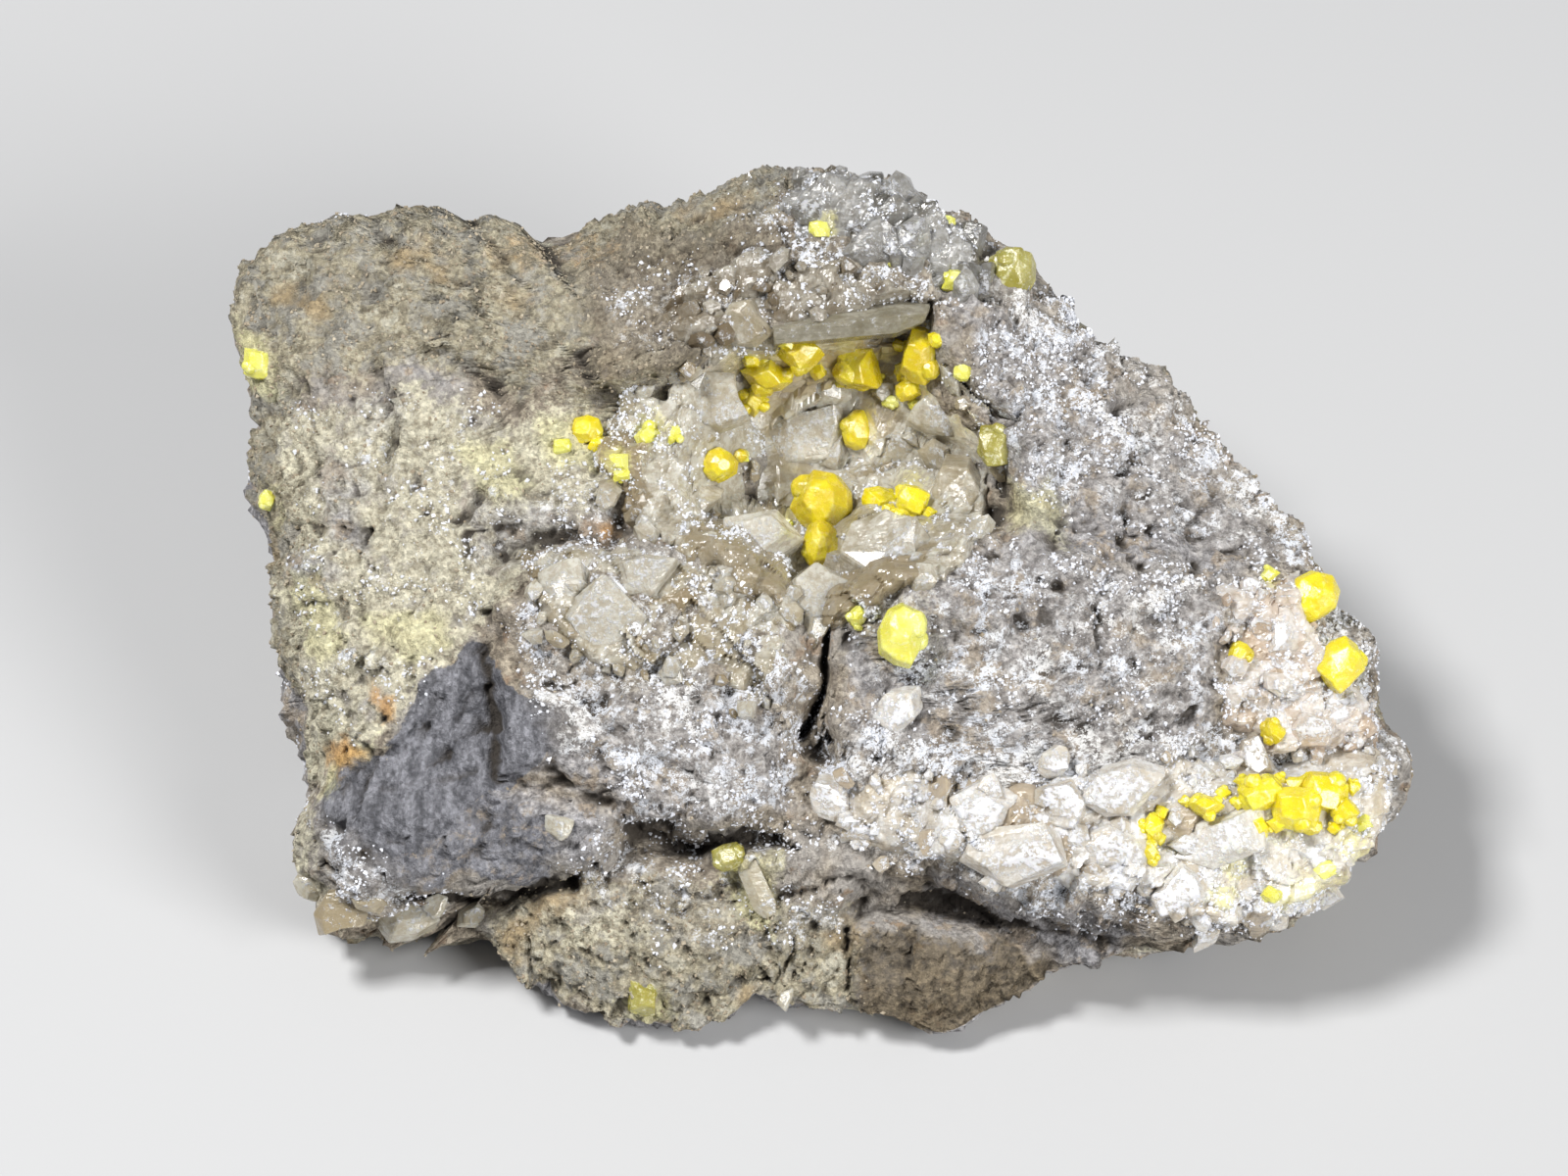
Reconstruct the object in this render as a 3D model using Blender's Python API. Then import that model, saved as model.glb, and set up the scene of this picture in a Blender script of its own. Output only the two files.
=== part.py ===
"""A hand specimen of native sulfur: yellow crystals among milky calcite on a lump of marly limestone.

The specimen rests on the flat break of its base and shows one long face, which looks up and forward. That face is
laid out on a grid of squares, with places given as (across, up, out): across to the right, up along the face, and out
of it. Everything is worked out in squares of the grid and turned into metres at the end.
"""

import math

import bmesh
import bpy
import numpy as np
from mathutils import Euler, Vector
from mathutils.bvhtree import BVHTree
from mathutils.geometry import delaunay_2d_cdt

# Driving dimensions
SQUARE = 0.00075  # metres: side of one square of the face's grid
FACE_LEAN = math.radians(50)  # how far above the horizon the show face looks
FACE_HEIGHT = 28.0  # squares: the grid's middle above the base
BODY_CENTRE = (3.555, 4.037)  # squares: the middle of the base, right of and behind the grid's middle
GAP = 0.4  # squares: clear space between two pieces that touch, 0.3 mm

SIN, COS = math.sin(FACE_LEAN), math.cos(FACE_LEAN)
OUT_AXIS = np.array([0.0, -COS, SIN])
UP_AXIS = np.array([0.0, SIN, COS])

# The lump's outline seen square to its face, in squares, going round from the left
OUTLINE = [
    (-56.7, 26), (-56.2, 30), (-55, 33), (-52.8, 35.2), (-50, 36.3), (-46.5, 38), (-43, 38), (-40, 38.8), (-36, 39),
    (-33.5, 38.2), (-32.4, 37.2), (-30, 38), (-27, 37), (-25.2, 34.9), (-22.5, 35.7), (-20, 37.2), (-17, 39),
    (-15, 39.8), (-12, 39.3), (-9, 39.5), (-7.5, 41), (-5, 41.8), (-2, 43), (0, 43.2), (5, 43.2), (9, 41.8),
    (12.5, 41.8), (14, 40.5), (16, 38), (20, 37), (21.5, 35.5), (23.2, 34.6), (25, 33), (26.5, 30.4), (28, 28),
    (31.8, 24.6), (35, 22.8), (37.5, 22.4), (40, 20.5), (43.5, 16), (46.5, 13.5), (49, 10.5), (51.5, 7.5), (53.5, 4),
    (55, 1.5), (57, -2), (60, -5), (60.8, -9), (60.5, -12.5), (63, -15.5), (64, -17.5), (63, -20.5), (62, -23),
    (59, -27.5), (56, -30.5), (53.5, -32.3), (50, -34.6), (48, -35.5), (44, -36.4), (37, -36.8), (30, -38.2),
    (26, -40), (22, -42.6), (18.5, -44.3), (15.5, -44.8), (12.5, -44), (10, -42.8), (5, -43), (0, -42), (-3, -41.2),
    (-6, -43.5), (-9, -44.4), (-14, -43.8), (-18, -43), (-22, -42.5), (-26, -40), (-28.5, -37), (-30, -35.4),
    (-32, -36), (-34, -34.3), (-35.2, -36.5), (-37.5, -38.2), (-40, -37), (-42, -35.4), (-44, -36.4), (-46.5, -34.8),
    (-47.8, -33.5), (-47.8, -31), (-49.6, -29), (-50.3, -26), (-49.5, -23.5), (-48.4, -20.5), (-48.8, -17.5),
    (-49.6, -14), (-50, -10.5), (-51.8, -7), (-52.4, -2), (-52.7, 4), (-54, 9), (-54.4, 13), (-53.8, 18),
    (-54.8, 21), (-56, 23.5),
]
OUTLINE_CENTRE = (3.0, -1.0)
RIM_PLANE = (-4.4, 0.036, -0.233)  # how far out the outline lies at the middle, and how that changes across and up
DEEPEST = 14.0  # squares: how far in the deepest crack may go at the middle

# Blocks that the face is broken into: outline, out at its middle, fall to the right, fall upwards, steepness of its
# sides. Each is a flat top that drops away outside its outline, and the highest block at a place is what shows.
BLOCKS = {
    "upper_left_shoulder": (
        [(-57, 30), (-52, 36), (-46, 39), (-35, 40), (-26, 37), (-20, 31), (-24, 25), (-30, 22.5), (-37, 23),
         (-50, 23), (-57, 21)], -2.2, -0.02, 0.30, 1.6),
    "left_face": (
        [(-56, 20), (-50, 22.6), (-36, 22.4), (-30, 19.5), (-24, 18), (-24, 8), (-28, 3), (-50, 0), (-54, 0)],
        1.2, 0.03, 0.24, 1.0),
    "cream_slope": (
        [(-53, 2), (-47, 4), (-36, 4), (-30, 0), (-29, -5), (-32, -6), (-40, -13), (-46, -19), (-49, -20)],
        6.6, -0.05, 0.20, 0.9),
    "ridge_knob": (
        [(-49, 3.5), (-46, 4.5), (-42, 2), (-43, 0), (-48, 0)], 6.2, 0.0, 0.1, 1.4),
    "dark_break": (
        [(-32, -5.5), (-46, -18), (-49, -24), (-46, -30), (-36, -30), (-28, -24), (-27, -12)], 7.2, 0.16, 0.02, 1.2),
    "lower_left_block": (
        [(-50, -22), (-48, -20), (-38, -21), (-28, -19), (-20, -20), (-16, -23), (-20, -28.5), (-28, -30.6),
         (-40, -30.4), (-47, -31), (-50, -27)], 9.6, 0.05, -0.04, 4.0),
    "left_lump": (
        [(-29, 0), (-24, 3), (-15, 4), (-4, 4), (0, 0), (3, -5), (3, -10), (0, -16), (-1, -22), (-6, -23.8),
         (-16, -22.5), (-23, -18), (-28, -14), (-30, -6)], 8.6, 0.02, 0.13, 3.2),
    "folded_layer": (
        [(-29, -8), (-24, -9), (-17, -9.8), (-18, -12), (-24, -18), (-28, -18)], 9.4, 0.06, 0.10, 1.6),
    "upper_mass": (
        [(-24, 34), (-15, 39.5), (-1, 43), (3, 40), (7, 30), (15, 30), (10, 27), (-1, 25.5), (-10, 22), (-20, 20),
         (-24, 25)], -1.6, 0.0, 0.30, 1.8),
    "mid_rise": (
        [(-24, 20), (-12, 22), (-10, 14), (-14, 6), (-24, 5), (-30, 10)], 1.6, 0.03, 0.20, 0.8),
    "druse_bank": (
        [(0, 43), (7, 42), (13, 41), (16, 38.5), (21.5, 36.5), (26, 30), (16, 29), (7, 30), (3, 39)],
        -4.2, 0.10, 0.30, 1.4),
    "right_flank": (
        [(15.5, 30), (27, 29), (40, 20), (54, 2), (44, 0), (35, 1), (26, 4), (24, 14), (21, 20), (17, 24)],
        -1.0, 0.30, 0.26, 1.2),
    "vug_lip": (
        [(15, 30), (19, 29), (22, 20), (26, 14), (27, 6), (23.5, 5), (22.5, 14), (19, 19), (16, 23)],
        2.0, 0.10, 0.26, 1.8),
    "right_lump": (
        [(5, -5), (10, 1), (16, 4), (26, 4), (44, 0), (45, -10), (40, -18), (20, -19), (8, -19), (5, -14)],
        8.0, 0.05, 0.16, 1.3),
    "right_shoulder": (
        [(44, 0), (54, 2), (60, -5), (61, -14), (63.5, -17), (60, -19), (45, -19), (40, -18)], 4.2, 0.22, 0.10, 1.2),
    "crystal_shelf": (
        [(16, -19), (29, -18), (45, -19), (63, -18), (63, -22), (59, -27), (50, -34), (36, -35), (24, -30),
         (14, -26)], 9.6, 0.10, 0.10, 2.6),
    "middle_shelf": (
        [(0, -14), (6, -17), (16, -19), (16, -27), (10, -30), (0, -30), (-5, -27), (-1, -22)], 7.6, 0.0, 0.10, 2.0),
    "lower_layer": (
        [(-29, -35), (-24, -30), (-15, -28), (-4, -29), (6, -30), (7, -35), (6, -41), (-2, -41), (-10, -43),
         (-20, -42.5), (-27, -39)], 5.6, 0.02, 0.05, 1.8),
    "golden_lump": (
        [(6.2, -35), (10, -34), (20, -36), (26, -37), (26, -40), (18.5, -44), (12, -44), (6.2, -41)],
        6.2, 0.08, 0.02, 2.2),
    "left_hanging_lump": (
        [(-47.5, -31), (-42.5, -31), (-42, -34.5), (-44.5, -36), (-47.5, -33.5)], 3.4, 0.0, 0.0, 1.6),
    "middle_hanging_lump": (
        [(-41, -31.5), (-35, -32), (-34.5, -35), (-37.5, -38), (-40, -36.5)], 2.6, 0.0, 0.0, 1.6),
    "right_keel": (
        [(26, -35), (36, -33.5), (50, -33), (47, -36), (30, -38)], 3.0, 0.05, 0.0, 1.4),
}

# Hollows: outline, how far in they go, how wide their sides are
HOLLOWS = {
    "vug": ([(-21, 19), (-10, 21), (-4, 25), (5, 25.5), (14, 28), (18, 22), (23, 16), (22, 7), (14, 3), (4, -1),
             (-3, 4), (-11, 9), (-20, 11)], 2.6, 2.2),
    "vug_roof_shadow": ([(9, 27.6), (15.5, 30), (15, 26.5), (9, 25.5)], 2.8, 0.8),
    "brown_hollow": ([(-22.5, 24), (-19, 24), (-19, 20), (-22, 21)], 1.8, 0.8),
    "undercut": ([(-17, -22), (-8, -24.4), (0, -24), (2, -26.5), (-8, -26.8), (-17, -25)], 2.6, 0.9),
    "ledge_gap": ([(-40, -30.8), (-28, -31), (-21, -28.6), (-21, -30.6), (-28, -32.6), (-40, -32.2)], 3.0, 0.8),
    "keel_shadow": ([(6, -34), (12, -31), (34, -34), (30, -35.8), (14, -34)], 2.2, 1.0),
    "foot_cave": ([(-10, -41.5), (-5, -39), (-1, -40.5), (-4, -44), (-9, -45)], 3.0, 1.2),
}

# Cracks: the line each follows, half its width, its depth
CRACKS = {
    "middle_crack": ([(4.6, -4.6), (4.2, -8), (4.5, -10.5), (2.8, -13), (2.2, -14.5)], 0.55, 5.0),
    "middle_crack_mouth": ([(3.6, -11.5), (2.8, -13.5), (3.6, -16)], 1.3, 3.2),
    "shoulder_crack": ([(-37, 23), (-34, 22.8), (-31.5, 21), (-30.5, 20.2)], 0.7, 1.6),
    "cleft": ([(-30.8, -5.8), (-30, -12), (-29.4, -19)], 0.8, 1.8),
    "fold": ([(-25.5, -9.4), (-20, -9.6), (-17, -9.4)], 0.5, 1.0),
    "vug_side_gap": ([(18.5, 20.5), (21, 18), (23.6, 16.2)], 0.8, 3.0),
    "vug_foot_gap": ([(21.5, 11), (23, 8.5), (21.5, 7.8)], 1.0, 3.0),
    "rust_groove": ([(34, 5.4), (35.5, 3.4), (37, 1.6)], 0.5, 1.2),
    "golden_crack": ([(6.1, -34.5), (6.4, -38), (6.0, -41.5)], 0.5, 2.4),
    "foot_crack": ([(0.2, -34.8), (-0.4, -38), (-1, -40)], 0.35, 1.2),
}

# The hidden sides: the way each faces (right, back, up) and its distance from the middle of the body, in squares
BODY_MIDDLE = (2.0, 0.0, -8.0)
BODY_HALVES = (58.0, 44.0, 20.0)
HIDDEN_SIDES = {
    "base": ((0.0, 0.0, -1.0), 22.6),
    "back": ((0.05, 0.97, 0.20), 36.0),
    "back_left": ((-0.60, 0.78, 0.12), 43.0),
    "back_right": ((0.62, 0.76, 0.12), 36.0),
    "left": ((-0.98, 0.02, -0.12), 55.0),
    "right": ((0.96, -0.20, -0.20), 57.0),
    "back_foot": ((0.10, 0.80, -0.60), 38.0),
    "front_foot": ((0.0, -0.80, -0.60), 43.0),
    "right_foot": ((0.60, -0.55, -0.58), 50.0),
    "left_foot": ((-0.60, -0.55, -0.58), 50.0),
}

SHEET_CELLS = 120
MATRIX_SHARE = 0.095  # of the close sheet's triangles, what the bare lump needs

# Sulfur: (across, up, half its width, half its height), for every crystal of each intergrown group
SULFUR = {
    "sulfur_great_crystal": [(3.8, 8.6, 3.5, 3.8), (3.8, 4.4, 2.1, 2.8)],
    "sulfur_head_group": [(-1.8, 22.0, 2.9, 2.2), (1.7, 23.9, 2.7, 2.2), (-3.2, 19.2, 1.9, 1.8)],
    "sulfur_under_prism": [(7.6, 22.8, 2.8, 2.5)],
    "sulfur_corner_group": [(14.0, 23.8, 2.3, 3.3), (12.8, 20.4, 1.5, 1.4)],
    "sulfur_oval": [(7.5, 16.3, 1.7, 2.3)],
    "sulfur_round": [(-6.7, 12.7, 2.2, 1.9), (-4.5, 13.6, 0.9, 0.8)],
    "sulfur_left_pair": [(-20.2, 16.2, 1.8, 1.6), (-19.0, 14.6, 1.2, 1.2)],
    "sulfur_pale_pair": [(-13.6, 15.5, 1.9, 1.6), (-11.2, 15.6, 1.2, 1.1)],
    "sulfur_gap_crystal": [(21.6, 14.6, 1.9, 2.4)],
    "sulfur_middle_group": [(9.8, 8.9, 2.0, 1.7), (13.2, 8.9, 1.9, 1.9)],
    "sulfur_lemon": [(11.8, -4.8, 2.6, 3.6)],
    "sulfur_edge_upper": [(54.0, -1.0, 2.9, 3.0)],
    "sulfur_edge_lower": [(56.4, -7.8, 2.8, 3.2)],
    "sulfur_right_grain": [(49.5, -14.5, 1.4, 1.5)],
    "sulfur_tan_grain": [(46.2, -6.6, 1.4, 1.4)],
    "sulfur_shelf_band": [(48.0, -20.8, 2.6, 2.2), (51.6, -22.2, 2.8, 2.4), (54.6, -20.6, 2.5, 2.3),
                          (47.6, -24.0, 1.7, 1.4), (56.6, -22.6, 1.6, 1.5)],
    "sulfur_shelf_left": [(42.4, -22.0, 2.1, 1.4)],
    "sulfur_shelf_strip": [(37.2, -24.0, 1.2, 1.6), (36.8, -26.6, 1.0, 1.6)],
    "sulfur_foot": [(-14.4, -41.6, 1.6, 2.0)],
    "sulfur_left_edge": [(-54.0, 23.0, 1.6, 1.8)],
    "sulfur_lower_grain": [(-5.6, -27.2, 1.9, 1.7)],
    "sulfur_top_block": [(23.4, 32.4, 2.8, 2.7)],
}
# Where each calcite crust's bed has grown over the rock
BEDS = {
    "calcite_hollow_crust": [
        (-20, 12), (-19, 18), (-13, 18.5), (-8, 22.5), (0, 22), (7, 24.5), (13, 26), (17, 21), (21, 16), (21, 6),
        (17, 1), (10, -1), (4, -3.4), (-3, 1), (-8, 6.4), (-15, 9)],
    "calcite_ridge_druse": [
        (1.5, 41), (6, 42), (12, 40), (17, 37.4), (19.6, 33), (14, 31), (7, 31), (3, 35)],
    "calcite_shelf_crust": [
        (17, -20), (28, -19), (38, -18.4), (48, -19.4), (60, -17.6), (60.4, -22), (57, -27), (50, -32.4), (40, -33.4),
        (30, -31.6), (20, -29), (16, -25)],
    "calcite_right_crust": [(47, -3), (54, -3), (58.4, -9), (60, -14), (52, -16.4), (46.6, -12)],
    "calcite_lump_blocks": [(-25, 1), (-20, 3.4), (-12, 3), (-10, -3), (-12, -9), (-18, -8), (-23, -4)],
}
BED_CELL = 7.5  # squares: size of the facets that a bed follows the ground with
BED_TOP = 0.2  # squares: a bed's top above the old ground
BED_DEPTH = 3.0  # squares: a bed's foot below the old ground
CALCITE_STAND = 0.36  # of a block's half width and half height together: how far it stands out
ROOT_SHARE = 0.6  # of a block's standing part: how deep its flat root goes
SULFUR_STAND = 0.22  # of a crystal's half size: how far its middle is above the ground

# Calcite: (across, up, half its width, half its height, turn on the face in degrees) of the blocks that stand out
CALCITE = {
    "calcite_hollow_crust": [
        (-8.2, 18.8, 4.0, 3.4, 20), (10.0, 3.4, 5.0, 4.6, 35), (4.0, -1.0, 4.2, 3.4, -15), (2.2, 15.4, 4.8, 3.2, 10),
        (16.0, 17.0, 3.4, 3.0, 30), (17.5, 9.0, 2.8, 4.8, -10), (12.0, 13.6, 3.0, 2.6, 45), (-2.4, 4.8, 4.4, 3.4, 15),
        (-9.0, 8.8, 3.4, 2.6, 30), (4.6, 20.4, 3.0, 2.2, 5), (-14.6, 12.6, 3.4, 2.6, 25),
    ],
    "calcite_long_prism": [(7.0, 27.0, 8.2, 1.9, 6), (-3.0, 28.0, 3.6, 3.2, -20)],
    "calcite_ridge_druse": [
        (3.4, 40.0, 2.2, 3.0, 15), (7.4, 40.8, 3.4, 1.6, 20), (11.4, 39.0, 3.2, 3.0, -30), (9.0, 35.0, 3.6, 2.8, 10),
        (14.6, 35.8, 3.0, 2.2, 40), (19.4, 34.4, 1.6, 3.2, -20),
    ],
    "calcite_shelf_crust": [
        (34.0, -20.2, 4.8, 2.9, 10), (33.0, -25.8, 4.2, 2.5, -5), (23.0, -26.8, 5.6, 3.4, 0), (44.0, -25.6, 5.0, 3.2, 10),
        (20.6, -21.8, 3.6, 2.8, 30), (27.6, -21.6, 3.0, 3.0, 65), (39.6, -31.0, 3.0, 2.6, 40),
        (49.0, -32.0, 2.4, 2.8, 15), (53.6, -27.0, 4.4, 2.8, -20), (59.4, -21.4, 2.4, 3.4, -5),
    ],
    "calcite_right_crust": [
        (52.4, -10.2, 3.0, 2.6, -20), (56.6, -12.6, 2.8, 2.4, 40), (50.2, -4.6, 2.8, 2.6, 50), (53.4, -14.4, 3.0, 2.0, 10),
    ],
    "calcite_lump_blocks": [
        (-18.0, -3.0, 4.4, 4.6, 20), (-13.6, 1.2, 3.4, 2.6, -15), (-22.0, 0.6, 2.8, 2.8, 45),
    ],
    "calcite_white_block": [(11.4, -12.4, 3.0, 2.6, 15)],
    "calcite_shelf_block": [(5.2, -21.0, 2.9, 2.8, 30), (8.4, -24.2, 2.6, 2.2, -10)],
    "calcite_pale_prism": [(-2.4, -30.6, 1.3, 3.0, 25)],
}


def lattice(cell, salt):
    """A repeatable number from 0 to 1 for each cell of a cubic lattice."""
    mixed = (cell[:, 0] * 73856093) ^ (cell[:, 1] * 19349663) ^ (cell[:, 2] * 83492791) ^ (salt * 26544357)
    mixed = ((mixed ^ (mixed >> 13)) * 1274126177) & 0xFFFFFFFF
    return ((mixed ^ (mixed >> 15)) & 0xFFFFFF) / 0xFFFFFF


def swell(points, size, salt):
    """Smooth noise from -1 to 1: every lattice corner holds a number, and a point blends its eight corners."""
    cell = np.floor(points / size).astype(np.int64)
    part = points / size - cell
    part = part * part * (3 - 2 * part)
    total = np.zeros(len(points))
    for corner in np.ndindex(2, 2, 2):
        weight = np.prod(np.where(np.array(corner) == 1, part, 1 - part), axis=1)
        total += weight * lattice(cell + np.array(corner), salt)
    return 2 * total - 1


def chips(points, size, salt):
    """Broken facets, from about -1 to 1: each cell round a strewn seed is one flat chip with a lean of its own."""
    cell = np.floor(points / size).astype(np.int64)
    nearest = np.full(len(points), np.inf)
    height = np.zeros(len(points))
    for step in np.ndindex(3, 3, 3):
        near = cell + np.array(step) - 1
        seed = np.stack([lattice(near, salt + k) for k in range(3)], axis=1)
        lean = np.stack([lattice(near, salt + k) for k in range(3, 6)], axis=1) * 2 - 1
        away = points / size - near - seed
        distance = np.sum(away * away, axis=1)
        closer = distance < nearest
        nearest = np.where(closer, distance, nearest)
        height = np.where(closer, np.sum(lean * away, axis=1), height)
    return height


def inside_by(places, outline):
    """How far each place is inside a closed outline, negative outside it."""
    corners = np.array(outline, float)
    nearest = np.full(len(places), np.inf)
    within = np.zeros(len(places), bool)
    for start, end in zip(corners, np.roll(corners, -1, axis=0)):
        along, away = end - start, places - start
        share = np.clip(away @ along / (along @ along), 0, 1)
        nearest = np.minimum(nearest, np.linalg.norm(away - share[:, None] * along, axis=1))
        crosses = (start[1] > places[:, 1]) != (end[1] > places[:, 1])
        rise = along[1] if along[1] else 1.0
        within ^= crosses & (places[:, 0] < start[0] + (places[:, 1] - start[1]) * along[0] / rise)
    return np.where(within, nearest, -nearest)


def distance_to_line(places, line):
    nearest = np.full(len(places), np.inf)
    for start, end in zip(np.array(line[:-1], float), np.array(line[1:], float)):
        along, away = end - start, places - start
        share = np.clip(away @ along / (along @ along), 0, 1)
        nearest = np.minimum(nearest, np.linalg.norm(away - share[:, None] * along, axis=1))
    return nearest


def ramp(value, low, high):
    share = np.clip((value - low) / (high - low), 0, 1)
    return share * share * (3 - 2 * share)


EDGE_ROUND = 0.7  # squares: how softly a block's top turns into its side
BLEND = 1.5  # how sharply the highest block wins over its neighbours


def face_out(places):
    """How far the show face stands out at each (across, up) place."""
    flat = np.column_stack([places, np.zeros(len(places))])
    wander = np.column_stack([swell(flat, 6.0, 11), swell(flat, 6.0, 12)]) * 0.9
    wander += np.column_stack([swell(flat, 2.2, 13), swell(flat, 2.2, 14)]) * 0.35
    places = places + wander
    tops = []
    for outline, out, fall_right, fall_up, steepness in BLOCKS.values():
        middle = np.mean(outline, axis=0)
        top = out - (places[:, 0] - middle[0]) * fall_right - (places[:, 1] - middle[1]) * fall_up
        outside = -inside_by(places, outline) / EDGE_ROUND
        tops.append(top - steepness * EDGE_ROUND * np.logaddexp(0, outside))
    tops = np.array(tops)
    highest = tops.max(axis=0)
    out = highest + np.log(np.exp(BLEND * (tops - highest)).sum(axis=0)) / BLEND
    for outline, depth, side in HOLLOWS.values():
        out -= depth * ramp(inside_by(places, outline), -side / 2, side)
    for line, half_width, depth in CRACKS.values():
        out -= depth * np.exp(-((distance_to_line(places, line) / half_width) ** 2))
    return out


def outline_radius(angle):
    """Distance from the outline's centre to the outline, in the direction of each angle."""
    spokes = np.array(OUTLINE) - OUTLINE_CENTRE
    angles = np.arctan2(spokes[:, 1], spokes[:, 0])
    order = np.argsort(angles)
    return np.interp(angle, angles[order], np.linalg.norm(spokes[order], axis=1), period=2 * math.pi)


def rim_out(angle):
    """How far out the outline lies: far back along the top edge, forward along the foot."""
    return -5.0 - 10.0 * np.sin(angle) + 2.0 * np.cos(angle)


def to_body(grid):
    """(across, up, out) in squares to the standing body's (right, back, height) in squares."""
    across, up, out = grid.T
    right = across - BODY_CENTRE[0]
    back = up * SIN - out * COS - BODY_CENTRE[1]
    return np.column_stack([right, back, FACE_HEIGHT + up * COS + out * SIN])


def to_grid(direction):
    """A direction in the standing body's frame, as (across, up, out)."""
    direction = np.array(direction, float)
    return np.array([direction[0], direction @ UP_AXIS, direction @ OUT_AXIS])


def hidden_reach(direction):
    """How far the hidden sides let the body reach in each direction: the nearest side, with softened edges."""
    softness = 14
    total = np.zeros(len(direction))
    for facing, distance in HIDDEN_SIDES.values():
        normal = to_grid(facing)
        total += np.maximum(direction @ (normal / np.linalg.norm(normal)) / distance, 0) ** softness
    return total ** (-1 / softness)


def disc(side):
    """A square sheet's points bent onto a disc of radius 1: each square ring of the sheet becomes a round one."""
    across, up = side.T
    wide = np.abs(across) >= np.abs(up)
    radius = np.where(wide, np.abs(across), np.abs(up))
    larger, smaller = np.where(wide, across, up), np.where(wide, up, across)
    eighth = math.pi / 4 * smaller / np.where(larger == 0, 1, larger)
    turned = np.where(wide, eighth, math.pi / 2 - eighth) + np.where(larger < 0, math.pi, 0)
    return radius, turned


def front_half(radius, angle):
    """The shown half: from the middle of the face (radius 0) to the rim (radius 1), where it turns under."""
    share = 1 - (1 - radius) ** 1.5
    places = np.column_stack([np.cos(angle), np.sin(angle)]) * (outline_radius(angle) * share)[:, None]
    places += OUTLINE_CENTRE
    rim = rim_out(angle)
    lowest = RIM_PLANE[0] + places @ RIM_PLANE[1:] - DEEPEST * (1 - share)
    out = np.maximum(face_out(places), lowest)
    stand = (1 - share**9) ** 0.5
    return np.column_stack([places, rim + (out - rim) * stand])


def back_half(radius, angle):
    """The hidden half: from the rim (radius 1) to the middle of the back (radius 0)."""
    turn = math.pi - radius * math.pi / 2
    direction = np.column_stack([np.sin(turn) * np.cos(angle), np.sin(turn) * np.sin(angle), np.cos(turn)])
    near_rim = 1 - ramp(turn, math.pi / 2, math.pi / 2 + 0.75)
    reach = near_rim * outline_radius(angle) + (1 - near_rim) * hidden_reach(direction)
    rim_middle = np.column_stack([np.tile(OUTLINE_CENTRE, (len(angle), 1)), rim_out(angle)])
    middle = near_rim[:, None] * rim_middle + (1 - near_rim[:, None]) * np.array(BODY_MIDDLE)
    return middle + direction * reach[:, None]


def outward(points):
    """Each point's direction out of the body, as on the egg that the body would fit into."""
    away = (points - BODY_MIDDLE) / np.square(BODY_HALVES)
    return away / np.linalg.norm(away, axis=1)[:, None]


def sheet_faces(count, first):
    """Triangles of a square sheet of count by count points."""
    number = first + np.arange(count * count).reshape(count, count)
    near, right, above = number[:-1, :-1].ravel(), number[1:, :-1].ravel(), number[:-1, 1:].ravel()
    far = number[1:, 1:].ravel()
    return np.concatenate([np.column_stack([near, right, far]), np.column_stack([near, far, above])])


def rim_numbers(count, first):
    """The numbers of a square sheet's edge points, going once round."""
    number = first + np.arange(count * count).reshape(count, count)
    return np.concatenate([number[:-1, 0], number[-1, :-1], number[:0:-1, -1], number[0, :0:-1]])


def body_grid(cells):
    """The closed body: a sheet for the shown half and one half as close for the hidden half, sewn at the rim."""
    front_count, back_count = cells + 1, cells // 2 + 1
    front_side = np.linspace(-1, 1, front_count)
    back_side = np.linspace(-1, 1, back_count) * (1 - 1.6 / cells)
    front_sheet = np.stack(np.meshgrid(front_side, front_side, indexing="ij"), axis=-1).reshape(-1, 2)
    back_sheet = np.stack(np.meshgrid(back_side, back_side, indexing="ij"), axis=-1).reshape(-1, 2)
    points = np.concatenate([front_half(*disc(front_sheet)), back_half(*disc(back_sheet))])
    near = rim_numbers(front_count, 0)
    far = rim_numbers(back_count, front_count**2)
    start, middle, end = near[0::2], near[1::2], np.roll(near[0::2], -1)
    behind, behind_end = far, np.roll(far, -1)
    seam = [[start, behind, middle], [middle, behind, behind_end], [middle, behind_end, end]]
    faces = [sheet_faces(front_count, 0), sheet_faces(back_count, front_count**2)[:, ::-1]]
    faces += [np.column_stack(strip) for strip in seam]
    return points, np.concatenate(faces)


def roughened(points):
    """The body with its breaks: broad swells, then facets the size of a fingertip and of a grain of rice."""
    move = 0.9 * swell(points, 11.0, 21) + 1.2 * chips(points, 8.0, 31) + 0.9 * chips(points, 3.6, 41)
    return points + outward(points) * move[:, None]


def material(name, colour, roughness, see_through=0.0, ior=1.5):
    made = bpy.data.materials.new(name)
    made.use_nodes = True
    shader = made.node_tree.nodes["Principled BSDF"]
    shader.inputs["Base Color"].default_value = (*colour, 1)
    shader.inputs["Roughness"].default_value = roughness
    shader.inputs["Transmission Weight"].default_value = see_through
    shader.inputs["IOR"].default_value = ior
    made.diffuse_color = (*colour, 1)
    return made


def hull(name, points, finish, standing=False):
    """The flat-faced solid that a handful of corners span, given on the face's grid or standing."""
    made = bmesh.new()
    corners = np.array(points, float)
    for point in (corners if standing else to_body(corners)) * SQUARE:
        made.verts.new(point)
    result = bmesh.ops.convex_hull(made, input=made.verts)
    spare = {v for v in result["geom_interior"] + result["geom_unused"] if isinstance(v, bmesh.types.BMVert)}
    bmesh.ops.delete(made, geom=list(spare), context="VERTS")
    bmesh.ops.recalc_face_normals(made, faces=made.faces)
    mesh = bpy.data.meshes.new(name)
    made.to_mesh(mesh)
    made.free()
    mesh.materials.append(finish)
    solid = bpy.data.objects.new(name, mesh)
    bpy.context.scene.collection.objects.link(solid)
    return solid


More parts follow.
